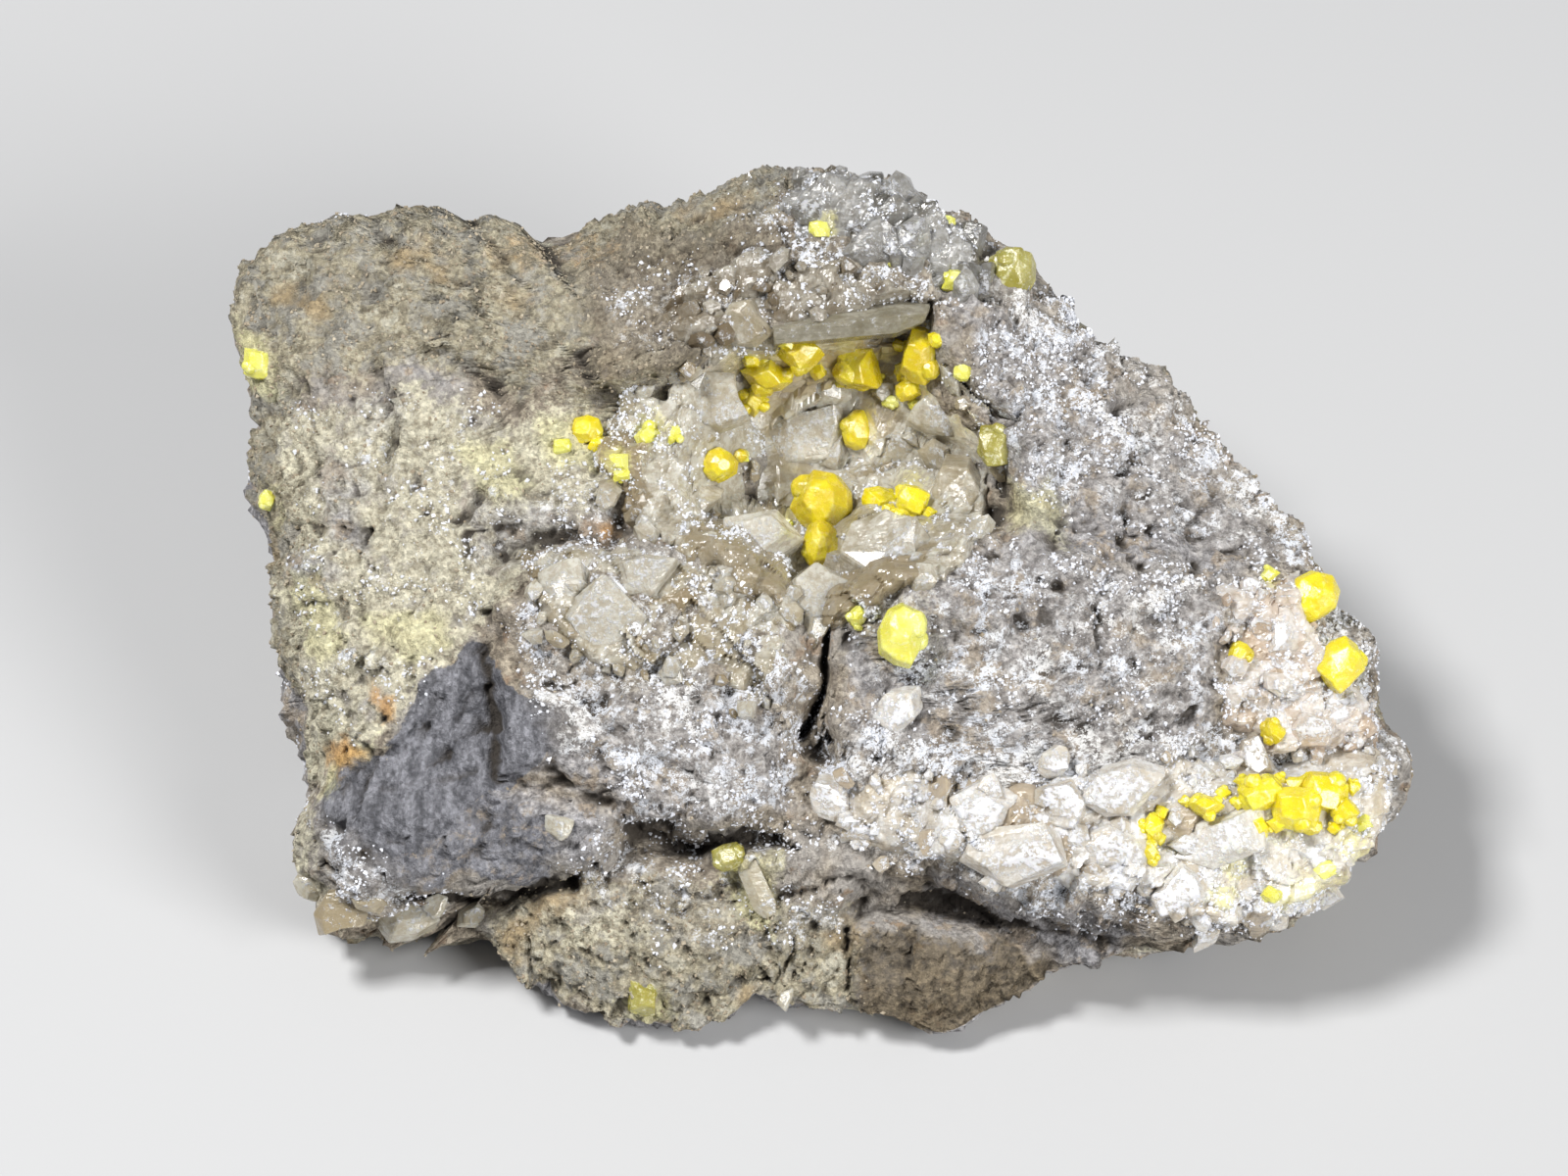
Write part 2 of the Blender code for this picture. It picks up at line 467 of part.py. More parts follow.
def add_object(name, points, faces, finish):
    mesh = bpy.data.meshes.new(name)
    mesh.from_pydata([tuple(p) for p in points], [], [tuple(f) for f in faces])
    mesh.materials.append(finish)
    made = bpy.data.objects.new(name, mesh)
    bpy.context.scene.collection.objects.link(made)
    return made


def apply_modifiers(made):
    """Freezes an object's modifiers into its mesh."""
    graph = bpy.context.evaluated_depsgraph_get()
    frozen = bpy.data.meshes.new_from_object(made.evaluated_get(graph))
    made.modifiers.clear()
    made.data = frozen


def combine(made, tools, operation):
    """Joins the tools to a solid, or cuts them from it, and puts them away."""
    group = bpy.data.collections.new("tools")
    for tool in tools:
        tool.hide_render = True
        tool.display_type = "WIRE"
        group.objects.link(tool)
    step = made.modifiers.new("combine", "BOOLEAN")
    step.operation = operation
    step.solver = "EXACT"
    step.operand_type = "COLLECTION"
    step.collection = group
    apply_modifiers(made)
    for tool in tools:
        bpy.data.objects.remove(tool)
    bpy.data.collections.remove(group)


# A sulfur crystal in its own measure: a thick double pyramid with cut shoulders and a cut tip
WAIST_HEIGHT = 0.16
SHOULDER, SHOULDER_HEIGHT = 0.70, 0.62
TIP, TIP_HEIGHT = 0.30, 0.90


def sulfur_corners():
    corners = []
    for top in (1, -1):
        for side in (1, -1):
            corners += [(side, 0, WAIST_HEIGHT * top), (0, side, WAIST_HEIGHT * top)]
            corners += [(SHOULDER * side, 0, SHOULDER_HEIGHT * top), (0, SHOULDER * side, SHOULDER_HEIGHT * top)]
            corners.append((TIP * side, 0, TIP_HEIGHT * top))
    return np.array(corners)


def calcite_corners():
    """A leaning block with one corner cut off, as calcite cleaves: its first axis is its length."""
    corners = []
    for length in (1, -1):
        for breadth in (1, -1):
            for height in (1, -1):
                lean = 0.22 * height + 0.12 * breadth
                corners.append((0.8 * length + lean, 0.9 * breadth + 0.1 * length, height))
    return np.array(corners)


def fitted(corners, turn, place, halves):
    """Corners turned, then stretched to fill a box of the given half sizes about a place."""
    turned = corners @ np.array(Euler(turn).to_matrix()).T
    low, high = turned.min(axis=0), turned.max(axis=0)
    return (2 * (turned - low) / (high - low) - 1) * halves + place


def ground_at(ground, across, up):
    """How far out the lump's surface is at a place on the face."""
    hit = ground.ray_cast(Vector((across, up, 99)), Vector((0, 0, -1)))[0]
    if hit is None:
        hit = ground.find_nearest(Vector((across, up, 0)))[0]
    return hit.z


def sulfur_shapes(entries, ground, swollen):
    """The corners of every crystal in a group, swollen all round to give the hole that the crystal sits in."""
    foot = np.mean([ground_at(ground, across, up) for across, up, *_ in entries])
    shapes = []
    for across, up, wide, high in entries:
        turn = [6.28 * lattice(np.array([[int(across * 10), int(up * 10), k]]), 5)[0] for k in range(3)]
        place = np.array([across, up, foot + SULFUR_STAND * (wide + high) / 2])
        halves = np.array([wide, high, (wide + high) / 2]) + swollen
        shapes.append(fitted(sulfur_corners(), turn, place, halves))
    return shapes


def calcite_shapes(entries, ground, swollen):
    """The corners of every block: they lean at random, and their roots are flat."""
    shapes = []
    for across, up, wide, high, turned in entries:
        place = np.array([across, up, ground_at(ground, across, up)])
        chance = [lattice(np.array([[int(across * 10), int(up * 10), k]]), 6)[0] - 0.5 for k in range(2)]
        lean = np.array(Euler((1.5 * chance[0], 1.5 * chance[1], 0)).to_matrix())
        block = (calcite_corners() * (wide, high, CALCITE_STAND * (wide + high))) @ lean.T
        block[:, 2] = np.where(block[:, 2] < 0, block[:, 2] * ROOT_SHARE, block[:, 2])
        reach = np.where(block > 0, block.max(axis=0), -block.min(axis=0))
        block *= 1 + 1.3 * swollen / reach
        flat = np.array(Euler((0, 0, math.radians(turned))).to_matrix())
        shapes.append(block @ flat.T + place)
    return shapes


def bed(name, outline, ground, swollen, finish):
    """A crust's bed: a slab that follows the ground inside an outline. Swollen, it is the hole that the bed is in."""
    corners = np.array(outline, float)
    grid = np.arange(-60, 66, BED_CELL)
    inner = np.stack(np.meshgrid(grid, grid * 0.9), axis=-1).reshape(-1, 2)
    inner = inner[inside_by(inner, corners) > BED_CELL * 0.4]
    flat = [Vector(place) for place in np.concatenate([corners, inner])]
    ring = [(k, (k + 1) % len(corners)) for k in range(len(corners))]
    places, _, faces = delaunay_2d_cdt(flat, ring, [list(range(len(corners)))], 1, 1e-6)[:3]
    flat = np.array([tuple(place) for place in places])
    top = np.array([ground_at(ground, *place) for place in flat])
    away = flat - corners.mean(axis=0)
    away /= np.linalg.norm(away, axis=1)[:, None] + 1e-9
    flat = np.where(inside_by(flat, corners)[:, None] < 0.1, flat + 2 * swollen * away, flat)
    top = np.minimum(top, [ground_at(ground, *place) for place in flat])
    deep = np.column_stack([flat, top - BED_DEPTH - 2 * swollen])
    high = np.column_stack([flat, top + (99 * swollen if swollen else BED_TOP)])
    count = len(places)
    sides = []
    for near, far in ring:
        sides += [(near, near + count, far + count), (near, far + count, far)]
    closed = [tuple(f) for f in faces] + [tuple(v + count for v in f[::-1]) for f in faces] + sides
    slab = add_object(name, to_body(np.concatenate([high, deep])) * SQUARE, closed, finish)
    mesh = bmesh.new()
    mesh.from_mesh(slab.data)
    bmesh.ops.recalc_face_normals(mesh, faces=mesh.faces)
    mesh.to_mesh(slab.data)
    mesh.free()
    return slab


def keep_largest(made):
    """Lets go of chips that the holes cut off."""
    mesh = bmesh.new()
    mesh.from_mesh(made.data)
    mesh.verts.index_update()
    left, pieces = set(mesh.verts), []
    while left:
        found, front = set(), [left.pop()]
        while front:
            point = front.pop()
            found.add(point)
            for edge in point.link_edges:
                other = edge.other_vert(point)
                if other in left:
                    left.remove(other)
                    front.append(other)
        pieces.append(found)
    pieces.sort(key=len)
    for chip in pieces[:-1]:
        bmesh.ops.delete(mesh, geom=list(chip), context="VERTS")
    mesh.to_mesh(made.data)
    mesh.free()


def grown_solid(name, solids):
    """One solid from solids that have grown into each other."""
    if len(solids) > 1:
        combine(solids[0], solids[1:], "UNION")
    solids[0].name = name
    return solids[0]


def hulls(shapes, finish):
    return [hull("crystal", shape, finish) for shape in shapes]


def make_matrix(points, faces, finish):
    made = add_object("matrix_rock", to_body(points) * SQUARE, faces, finish)
    soft = made.modifiers.new("worn breaks", "SMOOTH")
    soft.factor = 0.5
    soft.iterations = 1
    thin = made.modifiers.new("fewer faces on flat ground", "DECIMATE")
    thin.ratio = MATRIX_SHARE
    apply_modifiers(made)
    below = [(x, y, z) for x in (-99, 99) for y in (-99, 99) for z in (-99, 0)]
    floor = hull("floor", below, finish, standing=True)
    combine(made, [floor], "DIFFERENCE")
    return made


def main():
    for old in list(bpy.data.objects):
        bpy.data.objects.remove(old)
    rock = material("marly limestone", (0.46, 0.42, 0.36), 0.9)
    milky = material("milky calcite", (0.86, 0.83, 0.78), 0.35, see_through=0.4, ior=1.6)
    yellow = material("native sulfur", (0.90, 0.76, 0.05), 0.25, see_through=0.25, ior=1.96)
    points, faces = body_grid(SHEET_CELLS)
    points = roughened(points)
    matrix = make_matrix(points, faces, rock)
    ground = BVHTree.FromPolygons(points.tolist(), faces.tolist())

    sulfur_holes = []
    for name, entries in SULFUR.items():
        grown_solid(name, hulls(sulfur_shapes(entries, ground, 0), yellow))
        sulfur_holes += sulfur_shapes(entries, ground, GAP)
    calcite_holes = []
    for name, entries in CALCITE.items():
        solids = hulls(calcite_shapes(entries, ground, 0), milky)
        if name in BEDS:
            solids.insert(0, bed(name, BEDS[name], ground, 0, milky))
        crust = grown_solid(name, solids)
        combine(crust, hulls(sulfur_holes + calcite_holes, milky), "DIFFERENCE")
        keep_largest(crust)
        calcite_holes += calcite_shapes(entries, ground, GAP)
    for outline in BEDS.values():
        combine(matrix, [bed("hole", outline, ground, GAP, rock)], "DIFFERENCE")
    combine(matrix, hulls(sulfur_holes + calcite_holes, rock), "DIFFERENCE")
    keep_largest(matrix)


main()
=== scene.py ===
# %% [markdown]
# # Native sulfur with calcite on limestone
#
# This lesson dresses a hand specimen: a lump of marly limestone, milky calcite in a hollow and along two
# edges, and bright yellow sulfur crystals. The solids come from the CAD model. Here each gets the shape and
# finish that the eye reads from close up. Everything is worked out in squares of a grid laid on the show
# face, then turned into metres.

# %% Load the frame
import math

import bpy
import numpy as np
from mathutils import Euler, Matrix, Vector
from mathutils.bvhtree import BVHTree


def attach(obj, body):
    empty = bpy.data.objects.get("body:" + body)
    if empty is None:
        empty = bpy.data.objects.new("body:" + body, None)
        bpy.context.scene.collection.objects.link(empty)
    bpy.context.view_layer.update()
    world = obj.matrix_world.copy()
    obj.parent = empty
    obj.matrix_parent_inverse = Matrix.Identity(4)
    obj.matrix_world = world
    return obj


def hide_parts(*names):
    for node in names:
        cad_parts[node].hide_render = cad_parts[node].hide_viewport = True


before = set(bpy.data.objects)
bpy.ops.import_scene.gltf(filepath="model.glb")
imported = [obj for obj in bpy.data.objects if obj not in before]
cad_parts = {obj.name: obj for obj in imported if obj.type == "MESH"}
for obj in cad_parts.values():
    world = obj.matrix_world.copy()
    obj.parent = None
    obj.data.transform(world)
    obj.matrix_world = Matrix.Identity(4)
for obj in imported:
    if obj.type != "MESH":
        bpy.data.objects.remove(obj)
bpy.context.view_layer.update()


# %% [markdown]
# ## The grid on the face
# A rock has no straight edges to measure from, so a maker lays a grid on it. Across runs to the right, up
# runs along the leaning face, and out stands away from it. These are the same numbers as in the CAD model.

# %% The grid's measures
SQUARE = 0.00075  # metres: side of one square
FACE_LEAN = math.radians(50)  # how far above the horizon the show face looks
FACE_HEIGHT = 28.0  # squares: the grid's middle above the base
BODY_CENTRE = (3.555, 4.037)  # squares: the middle of the base, right of and behind the grid's middle
SIN, COS = math.sin(FACE_LEAN), math.cos(FACE_LEAN)
OUT_AXIS = np.array([0.0, -COS, SIN])
UP_AXIS = np.array([0.0, SIN, COS])


def to_body(grid):
    """(across, up, out) in squares to the standing body's (right, back, height) in squares."""
    across, up, out = grid.T
    right = across - BODY_CENTRE[0]
    back = up * SIN - out * COS - BODY_CENTRE[1]
    return np.column_stack([right, back, FACE_HEIGHT + up * COS + out * SIN])


def to_grid(direction):
    """A direction in the standing body's frame, as (across, up, out)."""
    direction = np.array(direction, float)
    return np.array([direction[0], direction @ UP_AXIS, direction @ OUT_AXIS])


print("grid middle, m:", np.round(to_body(np.zeros((1, 3)))[0] * SQUARE, 4))

# %% [markdown]
# ## Noise made of plain arithmetic
# Natural breaks need three kinds of irregularity. A swell is smooth, a chip is a small flat facet, and a
# cobble is a rounded bump. Each is a function of place, worked out for all points at once, so it never
# changes from run to run. All of them start from a lattice that holds a number for each of its cells.

# %% Swells, chips and cobbles
SHAKERS = (73856093, 19349663, 83492791, 26544357)  # large odd numbers that shake a cell's three numbers up
STIRRER = 1274126177
WORD, SHARE = 0xFFFFFFFF, 0xFFFFFF  # the largest number of 32 bits, and of 24


def lattice(cell, salt):
    """A repeatable number from 0 to 1 for each cell of a cubic lattice."""
    mixed = salt * SHAKERS[3]
    for axis in range(3):
        mixed = mixed ^ (cell[:, axis] * SHAKERS[axis])
    mixed = ((mixed ^ (mixed >> 13)) * STIRRER) & WORD
    return ((mixed ^ (mixed >> 15)) & SHARE) / SHARE


def swell(points, size, salt):
    """Smooth noise from -1 to 1: every lattice corner holds a number, and a point blends its eight
    corners."""
    cell = np.floor(points / size).astype(np.int64)
    part = points / size - cell
    part = part * part * (3 - 2 * part)
    total = np.zeros(len(points))
    for corner in np.ndindex(2, 2, 2):
        weight = np.prod(np.where(np.array(corner) == 1, part, 1 - part), axis=1)
        total += weight * lattice(cell + np.array(corner), salt)
    return 2 * total - 1


def seeds_near(points, size, salt, count):
    """Every lattice cell holds one seed. For each of the 27 cells about a point: the way from its seed to
    the point, and more numbers of the cell's own, up to count."""
    cell = np.floor(points / size).astype(np.int64)
    for step in np.ndindex(3, 3, 3):
        near = cell + np.array(step) - 1
        chance = [lattice(near, salt + k) for k in range(count)]
        yield points / size - near - np.stack(chance[:3], axis=1), chance[3:]


def chips(points, size, salt):
    """Broken facets, from about -1 to 1: each cell round a strewn seed is one flat chip with a lean of its
    own."""
    nearest = np.full(len(points), np.inf)
    height = np.zeros(len(points))
    for away, chance in seeds_near(points, size, salt, 6):
        lean = np.stack(chance, axis=1) * 2 - 1
        distance = np.sum(away * away, axis=1)
        closer = distance < nearest
        nearest = np.where(closer, distance, nearest)
        height = np.where(closer, np.sum(lean * away, axis=1), height)
    return height


def cobbles(points, size, salt):
    """Rounded bumps from 0 to 1: with d as the distance to the nearest seed, the bump stands sqrt(1 - d*d)
    high."""
    nearest = np.full(len(points), np.inf)
    for away, _ in seeds_near(points, size, salt, 3):
        nearest = np.minimum(nearest, np.sum(away * away, axis=1))
    return np.sqrt(np.clip(1 - nearest, 0, 1))


def layers(points, size, salt, count):
    """Swells laid over each other, each half as wide and half as high as the one before."""
    return sum(swell(points, size / 2**k, salt + k) / 2**k for k in range(count))


print("swells, chips and cobbles are ready")

# %% [markdown]
# ## Blocks grown into each other
# A crust of crystals is many blocks that meet along sharp joints. Here each lattice seed is one block: a
# leaning cap cut down by steep sides. Taking the highest block at each place gives the joints for nothing.

# %% Grown blocks
LOWEST_CAP, CAP_RANGE, CAP_LEAN = 0.35, 0.65, 1.1  # in cells: a cap's height, and how much it leans
BLOCK_TIP = 1.6  # radians: the range of a block's tilt
BLOCK_FORM = (0.75, 1.0, 0.8)  # how fast each pair of sides is reached: long, narrow, tall
SIDE_START, SIDE_FALL = 1.1, 2.6  # where the steep sides begin, and how steep they are


def grown(points, size, salt):
    """The highest block's height at each point, how far it is above the next block, and a number that is
    the block's own."""
    best, second = np.full(len(points), -9.0), np.full(len(points), -9.0)
    own = np.zeros(len(points))
    for away, chance in seeds_near(points, size, salt, 10):
        cap = LOWEST_CAP + CAP_RANGE * chance[0]
        cap = cap + sum((chance[1 + k] - 0.5) * away[:, k] for k in range(3)) * CAP_LEAN
        spin, tip = chance[4] * 2 * math.pi, (chance[5] - 0.5) * BLOCK_TIP
        cos, sin = np.cos(spin), np.sin(spin)
        along = cos * away[:, 0] + sin * away[:, 1]
        side = cos * away[:, 1] - sin * away[:, 0]
        rise = np.cos(tip) * away[:, 2] + np.sin(tip) * along
        along = np.cos(tip) * along - np.sin(tip) * away[:, 2]
        ways = [rate * np.abs(way) for rate, way in zip(BLOCK_FORM, (along, side, rise))]
        reach = np.maximum(np.maximum(ways[0], ways[1]), ways[2])
        block = np.minimum(cap, cap + SIDE_START - SIDE_FALL * reach)
        higher = block > best
        second = np.maximum(second, np.where(higher, best, block))
        own = np.where(higher, chance[6], own)
        best = np.where(higher, block, best)
    return best, best - second, own


print("grown blocks are ready")

# %% [markdown]
# ## Shapes drawn on the face
# Outlines and cracks are lists of places on the grid. Two small rulers measure how far a point is inside an
# outline or from a line, and a ramp turns a distance into a soft step.

# %% Rulers
def distance_to_line(places, line):
    """Distance from each place to the nearest point of a line's straight stretches."""
    nearest = np.full(len(places), np.inf)
    for start, end in zip(np.array(line[:-1], float), np.array(line[1:], float)):
        along, away = end - start, places - start
        share = np.clip(away @ along / (along @ along), 0, 1)
        nearest = np.minimum(nearest, np.linalg.norm(away - share[:, None] * along, axis=1))
    return nearest


def inside_by(places, outline):
    """How far each place is inside a closed outline, negative outside it. A place is inside when a line
    drawn from it to the right crosses the outline an odd number of times."""
    corners = np.array(outline, float)
    closed = np.concatenate([corners, corners[:1]])
    within = np.zeros(len(places), bool)
    for start, end in zip(closed[:-1], closed[1:]):
        along = end - start
        crosses = (start[1] > places[:, 1]) != (end[1] > places[:, 1])
        rise = along[1] if along[1] else 1.0
        within ^= crosses & (places[:, 0] < start[0] + (places[:, 1] - start[1]) * along[0] / rise)
    nearest = distance_to_line(places, closed)
    return np.where(within, nearest, -nearest)


def ramp(value, low, high):
    """A soft step from 0 at low to 1 at high: with s as the share of the way, 3 s*s - 2 s*s*s."""
    share = np.clip((value - low) / (high - low), 0, 1)
    return share * share * (3 - 2 * share)


print("rulers are ready")

# %% [markdown]
# ## The broken face
# The show face is a stack of flat blocks that the rock broke into, cut by hollows and cracks. Each has an
# outline on the grid. The lump's own outline closes them in, and is the same as the solid's.

# %% The outline, the blocks, the hollows and the cracks
# The lump's outline seen square to its face, in squares, going round from the left
OUTLINE = [
    (-56.7, 26), (-56.2, 30), (-55, 33), (-52.8, 35.2), (-50, 36.3), (-46.5, 38), (-43, 38), (-40, 38.8),
    (-36, 39), (-33.5, 38.2), (-32.4, 37.2), (-30, 38), (-27, 37), (-25.2, 34.9), (-22.5, 35.7),
    (-20, 37.2), (-17, 39), (-15, 39.8), (-12, 39.3), (-9, 39.5), (-7.5, 41), (-5, 41.8), (-2, 43),
    (0, 43.2), (5, 43.2), (9, 41.8), (12.5, 41.8), (14, 40.5), (16, 38), (20, 37), (21.5, 35.5),
    (23.2, 34.6), (25, 33), (26.5, 30.4), (28, 28), (31.8, 24.6), (35, 22.8), (37.5, 22.4), (40, 20.5),
    (43.5, 16), (46.5, 13.5), (49, 10.5), (51.5, 7.5), (53.5, 4), (55, 1.5), (57, -2), (60, -5), (60.8, -9),
    (60.5, -12.5), (63, -15.5), (64, -17.5), (63, -20.5), (62, -23), (59, -27.5), (56, -30.5),
    (53.5, -32.3), (50, -34.6), (48, -35.5), (44, -36.4), (37, -36.8), (30, -38.2), (26, -40), (22, -42.6),
    (18.5, -44.3), (15.5, -44.8), (12.5, -44), (10, -42.8), (5, -43), (0, -42), (-3, -41.2), (-6, -43.5),
    (-9, -44.4), (-14, -43.8), (-18, -43), (-22, -42.5), (-26, -40), (-28.5, -37), (-30, -35.4), (-32, -36),
    (-34, -34.3), (-35.2, -36.5), (-37.5, -38.2), (-40, -37), (-42, -35.4), (-44, -36.4), (-46.5, -34.8),
    (-47.8, -33.5), (-47.8, -31), (-49.6, -29), (-50.3, -26), (-49.5, -23.5), (-48.4, -20.5),
    (-48.8, -17.5), (-49.6, -14), (-50, -10.5), (-51.8, -7), (-52.4, -2), (-52.7, 4), (-54, 9), (-54.4, 13),
    (-53.8, 18), (-54.8, 21), (-56, 23.5),
]
OUTLINE_CENTRE = (3.0, -1.0)
RIM_PLANE = (-4.4, 0.036, -0.233)  # how far out the rim's plane is: at the middle, change across, change up
DEEPEST = 14.0  # squares behind that plane: the furthest in that the face may go at the middle
# Blocks that the face is broken into: outline, out at its middle, fall to the right, fall upwards, and
# steepness of its sides. Each is a flat top that drops away outside its outline.
BLOCKS = {
    "upper_left_shoulder": (
        [(-57, 30), (-52, 36), (-46, 39), (-35, 40), (-26, 37), (-20, 31), (-24, 25), (-30, 22.5),
         (-37, 23), (-50, 23), (-57, 21)], -2.2, -0.02, 0.30, 1.6),
    "left_face": (
        [(-56, 20), (-50, 22.6), (-36, 22.4), (-30, 19.5), (-24, 18), (-24, 8), (-28, 3), (-50, 0),
         (-54, 0)],
        1.2, 0.03, 0.24, 1.0),
    "cream_slope": (
        [(-53, 2), (-47, 4), (-36, 4), (-30, 0), (-29, -5), (-32, -6), (-40, -13), (-46, -19), (-49, -20)],
        6.6, -0.05, 0.20, 0.9),
    "ridge_knob": (
        [(-49, 3.5), (-46, 4.5), (-42, 2), (-43, 0), (-48, 0)], 6.2, 0.0, 0.1, 1.4),
    "dark_break": (
        [(-32, -5.5), (-46, -18), (-49, -24), (-46, -30), (-36, -30), (-28, -24), (-27, -12)],
        7.2, 0.16, 0.02, 1.2),
    "lower_left_block": (
        [(-50, -22), (-48, -20), (-38, -21), (-28, -19), (-20, -20), (-16, -23), (-20, -28.5), (-28, -30.6),
         (-40, -30.4), (-47, -31), (-50, -27)], 9.6, 0.05, -0.04, 4.0),
    "left_lump": (
        [(-29, 0), (-24, 3), (-15, 4), (-4, 4), (0, 0), (3, -5), (3, -10), (0, -16), (-1, -22), (-6, -23.8),
         (-16, -22.5), (-23, -18), (-28, -14), (-30, -6)], 8.6, 0.02, 0.13, 3.2),
    "folded_layer": (
        [(-29, -8), (-24, -9), (-17, -9.8), (-18, -12), (-24, -18), (-28, -18)], 9.4, 0.06, 0.10, 1.6),
    "upper_mass": (
        [(-24, 34), (-15, 39.5), (-1, 43), (3, 40), (7, 30), (15, 30), (10, 27), (-1, 25.5), (-10, 22),
         (-20, 20), (-24, 25)], -1.6, 0.0, 0.30, 1.8),
    "saddle": (
        [(-31, 37), (-20, 37.5), (-13, 32), (-11, 26), (-15, 21.5), (-24, 22), (-29, 26)],
        -0.9, 0.04, 0.30, 1.0),
    "mid_rise": (
        [(-24, 20), (-12, 22), (-10, 14), (-14, 6), (-24, 5), (-30, 10)], 1.6, 0.03, 0.20, 0.8),
    "druse_bank": (
        [(0, 43), (7, 42), (13, 41), (16, 38.5), (21.5, 36.5), (26, 30), (16, 29), (7, 30), (3, 39)],
        -4.2, 0.10, 0.30, 1.4),
    "right_flank": (
        [(15.5, 30), (27, 29), (40, 20), (54, 2), (44, 0), (35, 1), (26, 4), (24, 14), (21, 20), (17, 24)],
        -1.0, 0.30, 0.26, 1.2),
    "vug_lip": (
        [(15, 30), (19, 29), (22, 20), (26, 14), (27, 6), (23.5, 5), (22.5, 14), (19, 19), (16, 23)],
        2.0, 0.10, 0.26, 1.8),
    "right_lump": (
        [(5, -5), (10, 1), (16, 4), (26, 4), (44, 0), (45, -10), (40, -18), (20, -19), (8, -19), (5, -14)],
        8.0, 0.05, 0.16, 1.3),
    "right_shoulder": (
        [(44, 0), (54, 2), (60, -5), (61, -14), (63.5, -17), (60, -19), (45, -19), (40, -18)],
        4.2, 0.22, 0.10, 1.2),
    "crystal_shelf": (
        [(16, -19), (29, -18), (45, -19), (63, -18), (63, -22), (59, -27), (50, -34), (36, -35), (24, -30),
         (14, -26)], 9.6, 0.10, 0.10, 2.6),
    "middle_shelf": (
        [(0, -14), (6, -17), (16, -19), (16, -27), (10, -30), (0, -30), (-5, -27), (-1, -22)],
        7.6, 0.0, 0.10, 2.0),
    "lower_layer": (
        [(-29, -35), (-24, -30), (-15, -28), (-4, -29), (6, -30), (7, -35), (6, -41), (-2, -41), (-10, -43),
         (-20, -42.5), (-27, -39)], 5.6, 0.02, 0.05, 1.8),
    "golden_lump": (
        [(6.2, -35), (10, -34), (20, -36), (26, -37), (26, -40), (18.5, -44), (12, -44), (6.2, -41)],
        6.2, 0.08, 0.02, 2.2),
    "left_hanging_lump": (
        [(-47.5, -31), (-42.5, -31), (-42, -34.5), (-44.5, -36), (-47.5, -33.5)], 3.4, 0.0, 0.0, 1.6),
    "middle_hanging_lump": (
        [(-41, -31.5), (-35, -32), (-34.5, -35), (-37.5, -38), (-40, -36.5)], 2.6, 0.0, 0.0, 1.6),
    "right_keel": (
        [(26, -35), (36, -33.5), (50, -33), (47, -36), (30, -38)], 3.0, 0.05, 0.0, 1.4),
}
# Hollows: outline, how far in they go, how wide their sides are
HOLLOWS = {
    "vug": ([(-21, 19), (-10, 21), (-4, 25), (5, 25.5), (14, 28), (18, 22), (23, 16), (22, 7), (14, 3),
             (4, -1), (-3, 4), (-11, 9), (-20, 11)], 2.6, 2.2),
    "vug_roof_shadow": ([(9, 27.6), (15.5, 30), (15, 26.5), (9, 25.5)], 2.8, 0.8),
    "brown_hollow": ([(-22.5, 24), (-19, 24), (-19, 20), (-22, 21)], 1.8, 0.8),
    "undercut": ([(-17, -22), (-8, -24.4), (0, -24), (2, -26.5), (-8, -26.8), (-17, -25)], 2.6, 0.9),
    "ledge_gap": ([(-40, -30.8), (-28, -31), (-21, -28.6), (-21, -30.6), (-28, -32.6), (-40, -32.2)],
                  3.0, 0.8),
    "keel_shadow": ([(6, -34), (12, -31), (34, -34), (30, -35.8), (14, -34)], 1.1, 1.2),
    "foot_cave": ([(-10, -41.5), (-5, -39), (-1, -40.5), (-4, -44), (-9, -45)], 3.0, 1.2),
}

# Cracks: the line each follows, half its width, its depth
CRACKS = {
    "middle_crack": ([(4.6, -4.6), (4.2, -8), (4.5, -10.5), (2.8, -13), (2.2, -14.5)], 0.32, 4.0),
    "middle_crack_mouth": ([(3.6, -11.5), (2.8, -13.5), (3.6, -16)], 1.3, 3.2),
    "shoulder_crack": ([(-37, 23), (-34, 22.8), (-31.5, 21), (-30.5, 20.2)], 0.7, 1.6),
    "cleft": ([(-30.8, -5.8), (-30, -12), (-29.4, -19)], 0.8, 1.8),
    "fold": ([(-25.5, -9.4), (-20, -9.6), (-17, -9.4)], 0.5, 1.0),
    "vug_side_gap": ([(18.5, 20.5), (21, 18), (23.6, 16.2)], 0.8, 3.0),
    "vug_foot_gap": ([(21.5, 11), (23, 8.5), (21.5, 7.8)], 1.0, 3.0),
    "rust_groove": ([(34, 5.4), (35.5, 3.4), (37, 1.6)], 0.5, 1.2),
    "golden_crack": ([(6.1, -34.5), (6.4, -38), (6.0, -41.5)], 0.5, 2.4),
    "foot_crack": ([(0.2, -34.8), (-0.4, -38), (-1, -40)], 0.35, 1.2),
}

print(len(BLOCKS), "blocks,", len(HOLLOWS), "hollows,", len(CRACKS), "cracks")

# %% [markdown]
# ## From blocks to a face
# At each place the highest block is what shows. A smooth maximum does that and leaves the inner corners a
# little soft, as a break is. Hollows and cracks are taken off afterwards. Swells push the places about
# first, so no outline shows as a straight cut.

# %% How far the face stands out
EDGE_ROUND = 0.7  # squares: how softly a block's top turns into its side
BLEND = 1.5  # how sharply the highest block wins over its neighbours
WANDERS = ((6.0, 0.9, 11), (2.2, 0.35, 13))  # width of a swell, how far it pushes, and its salt


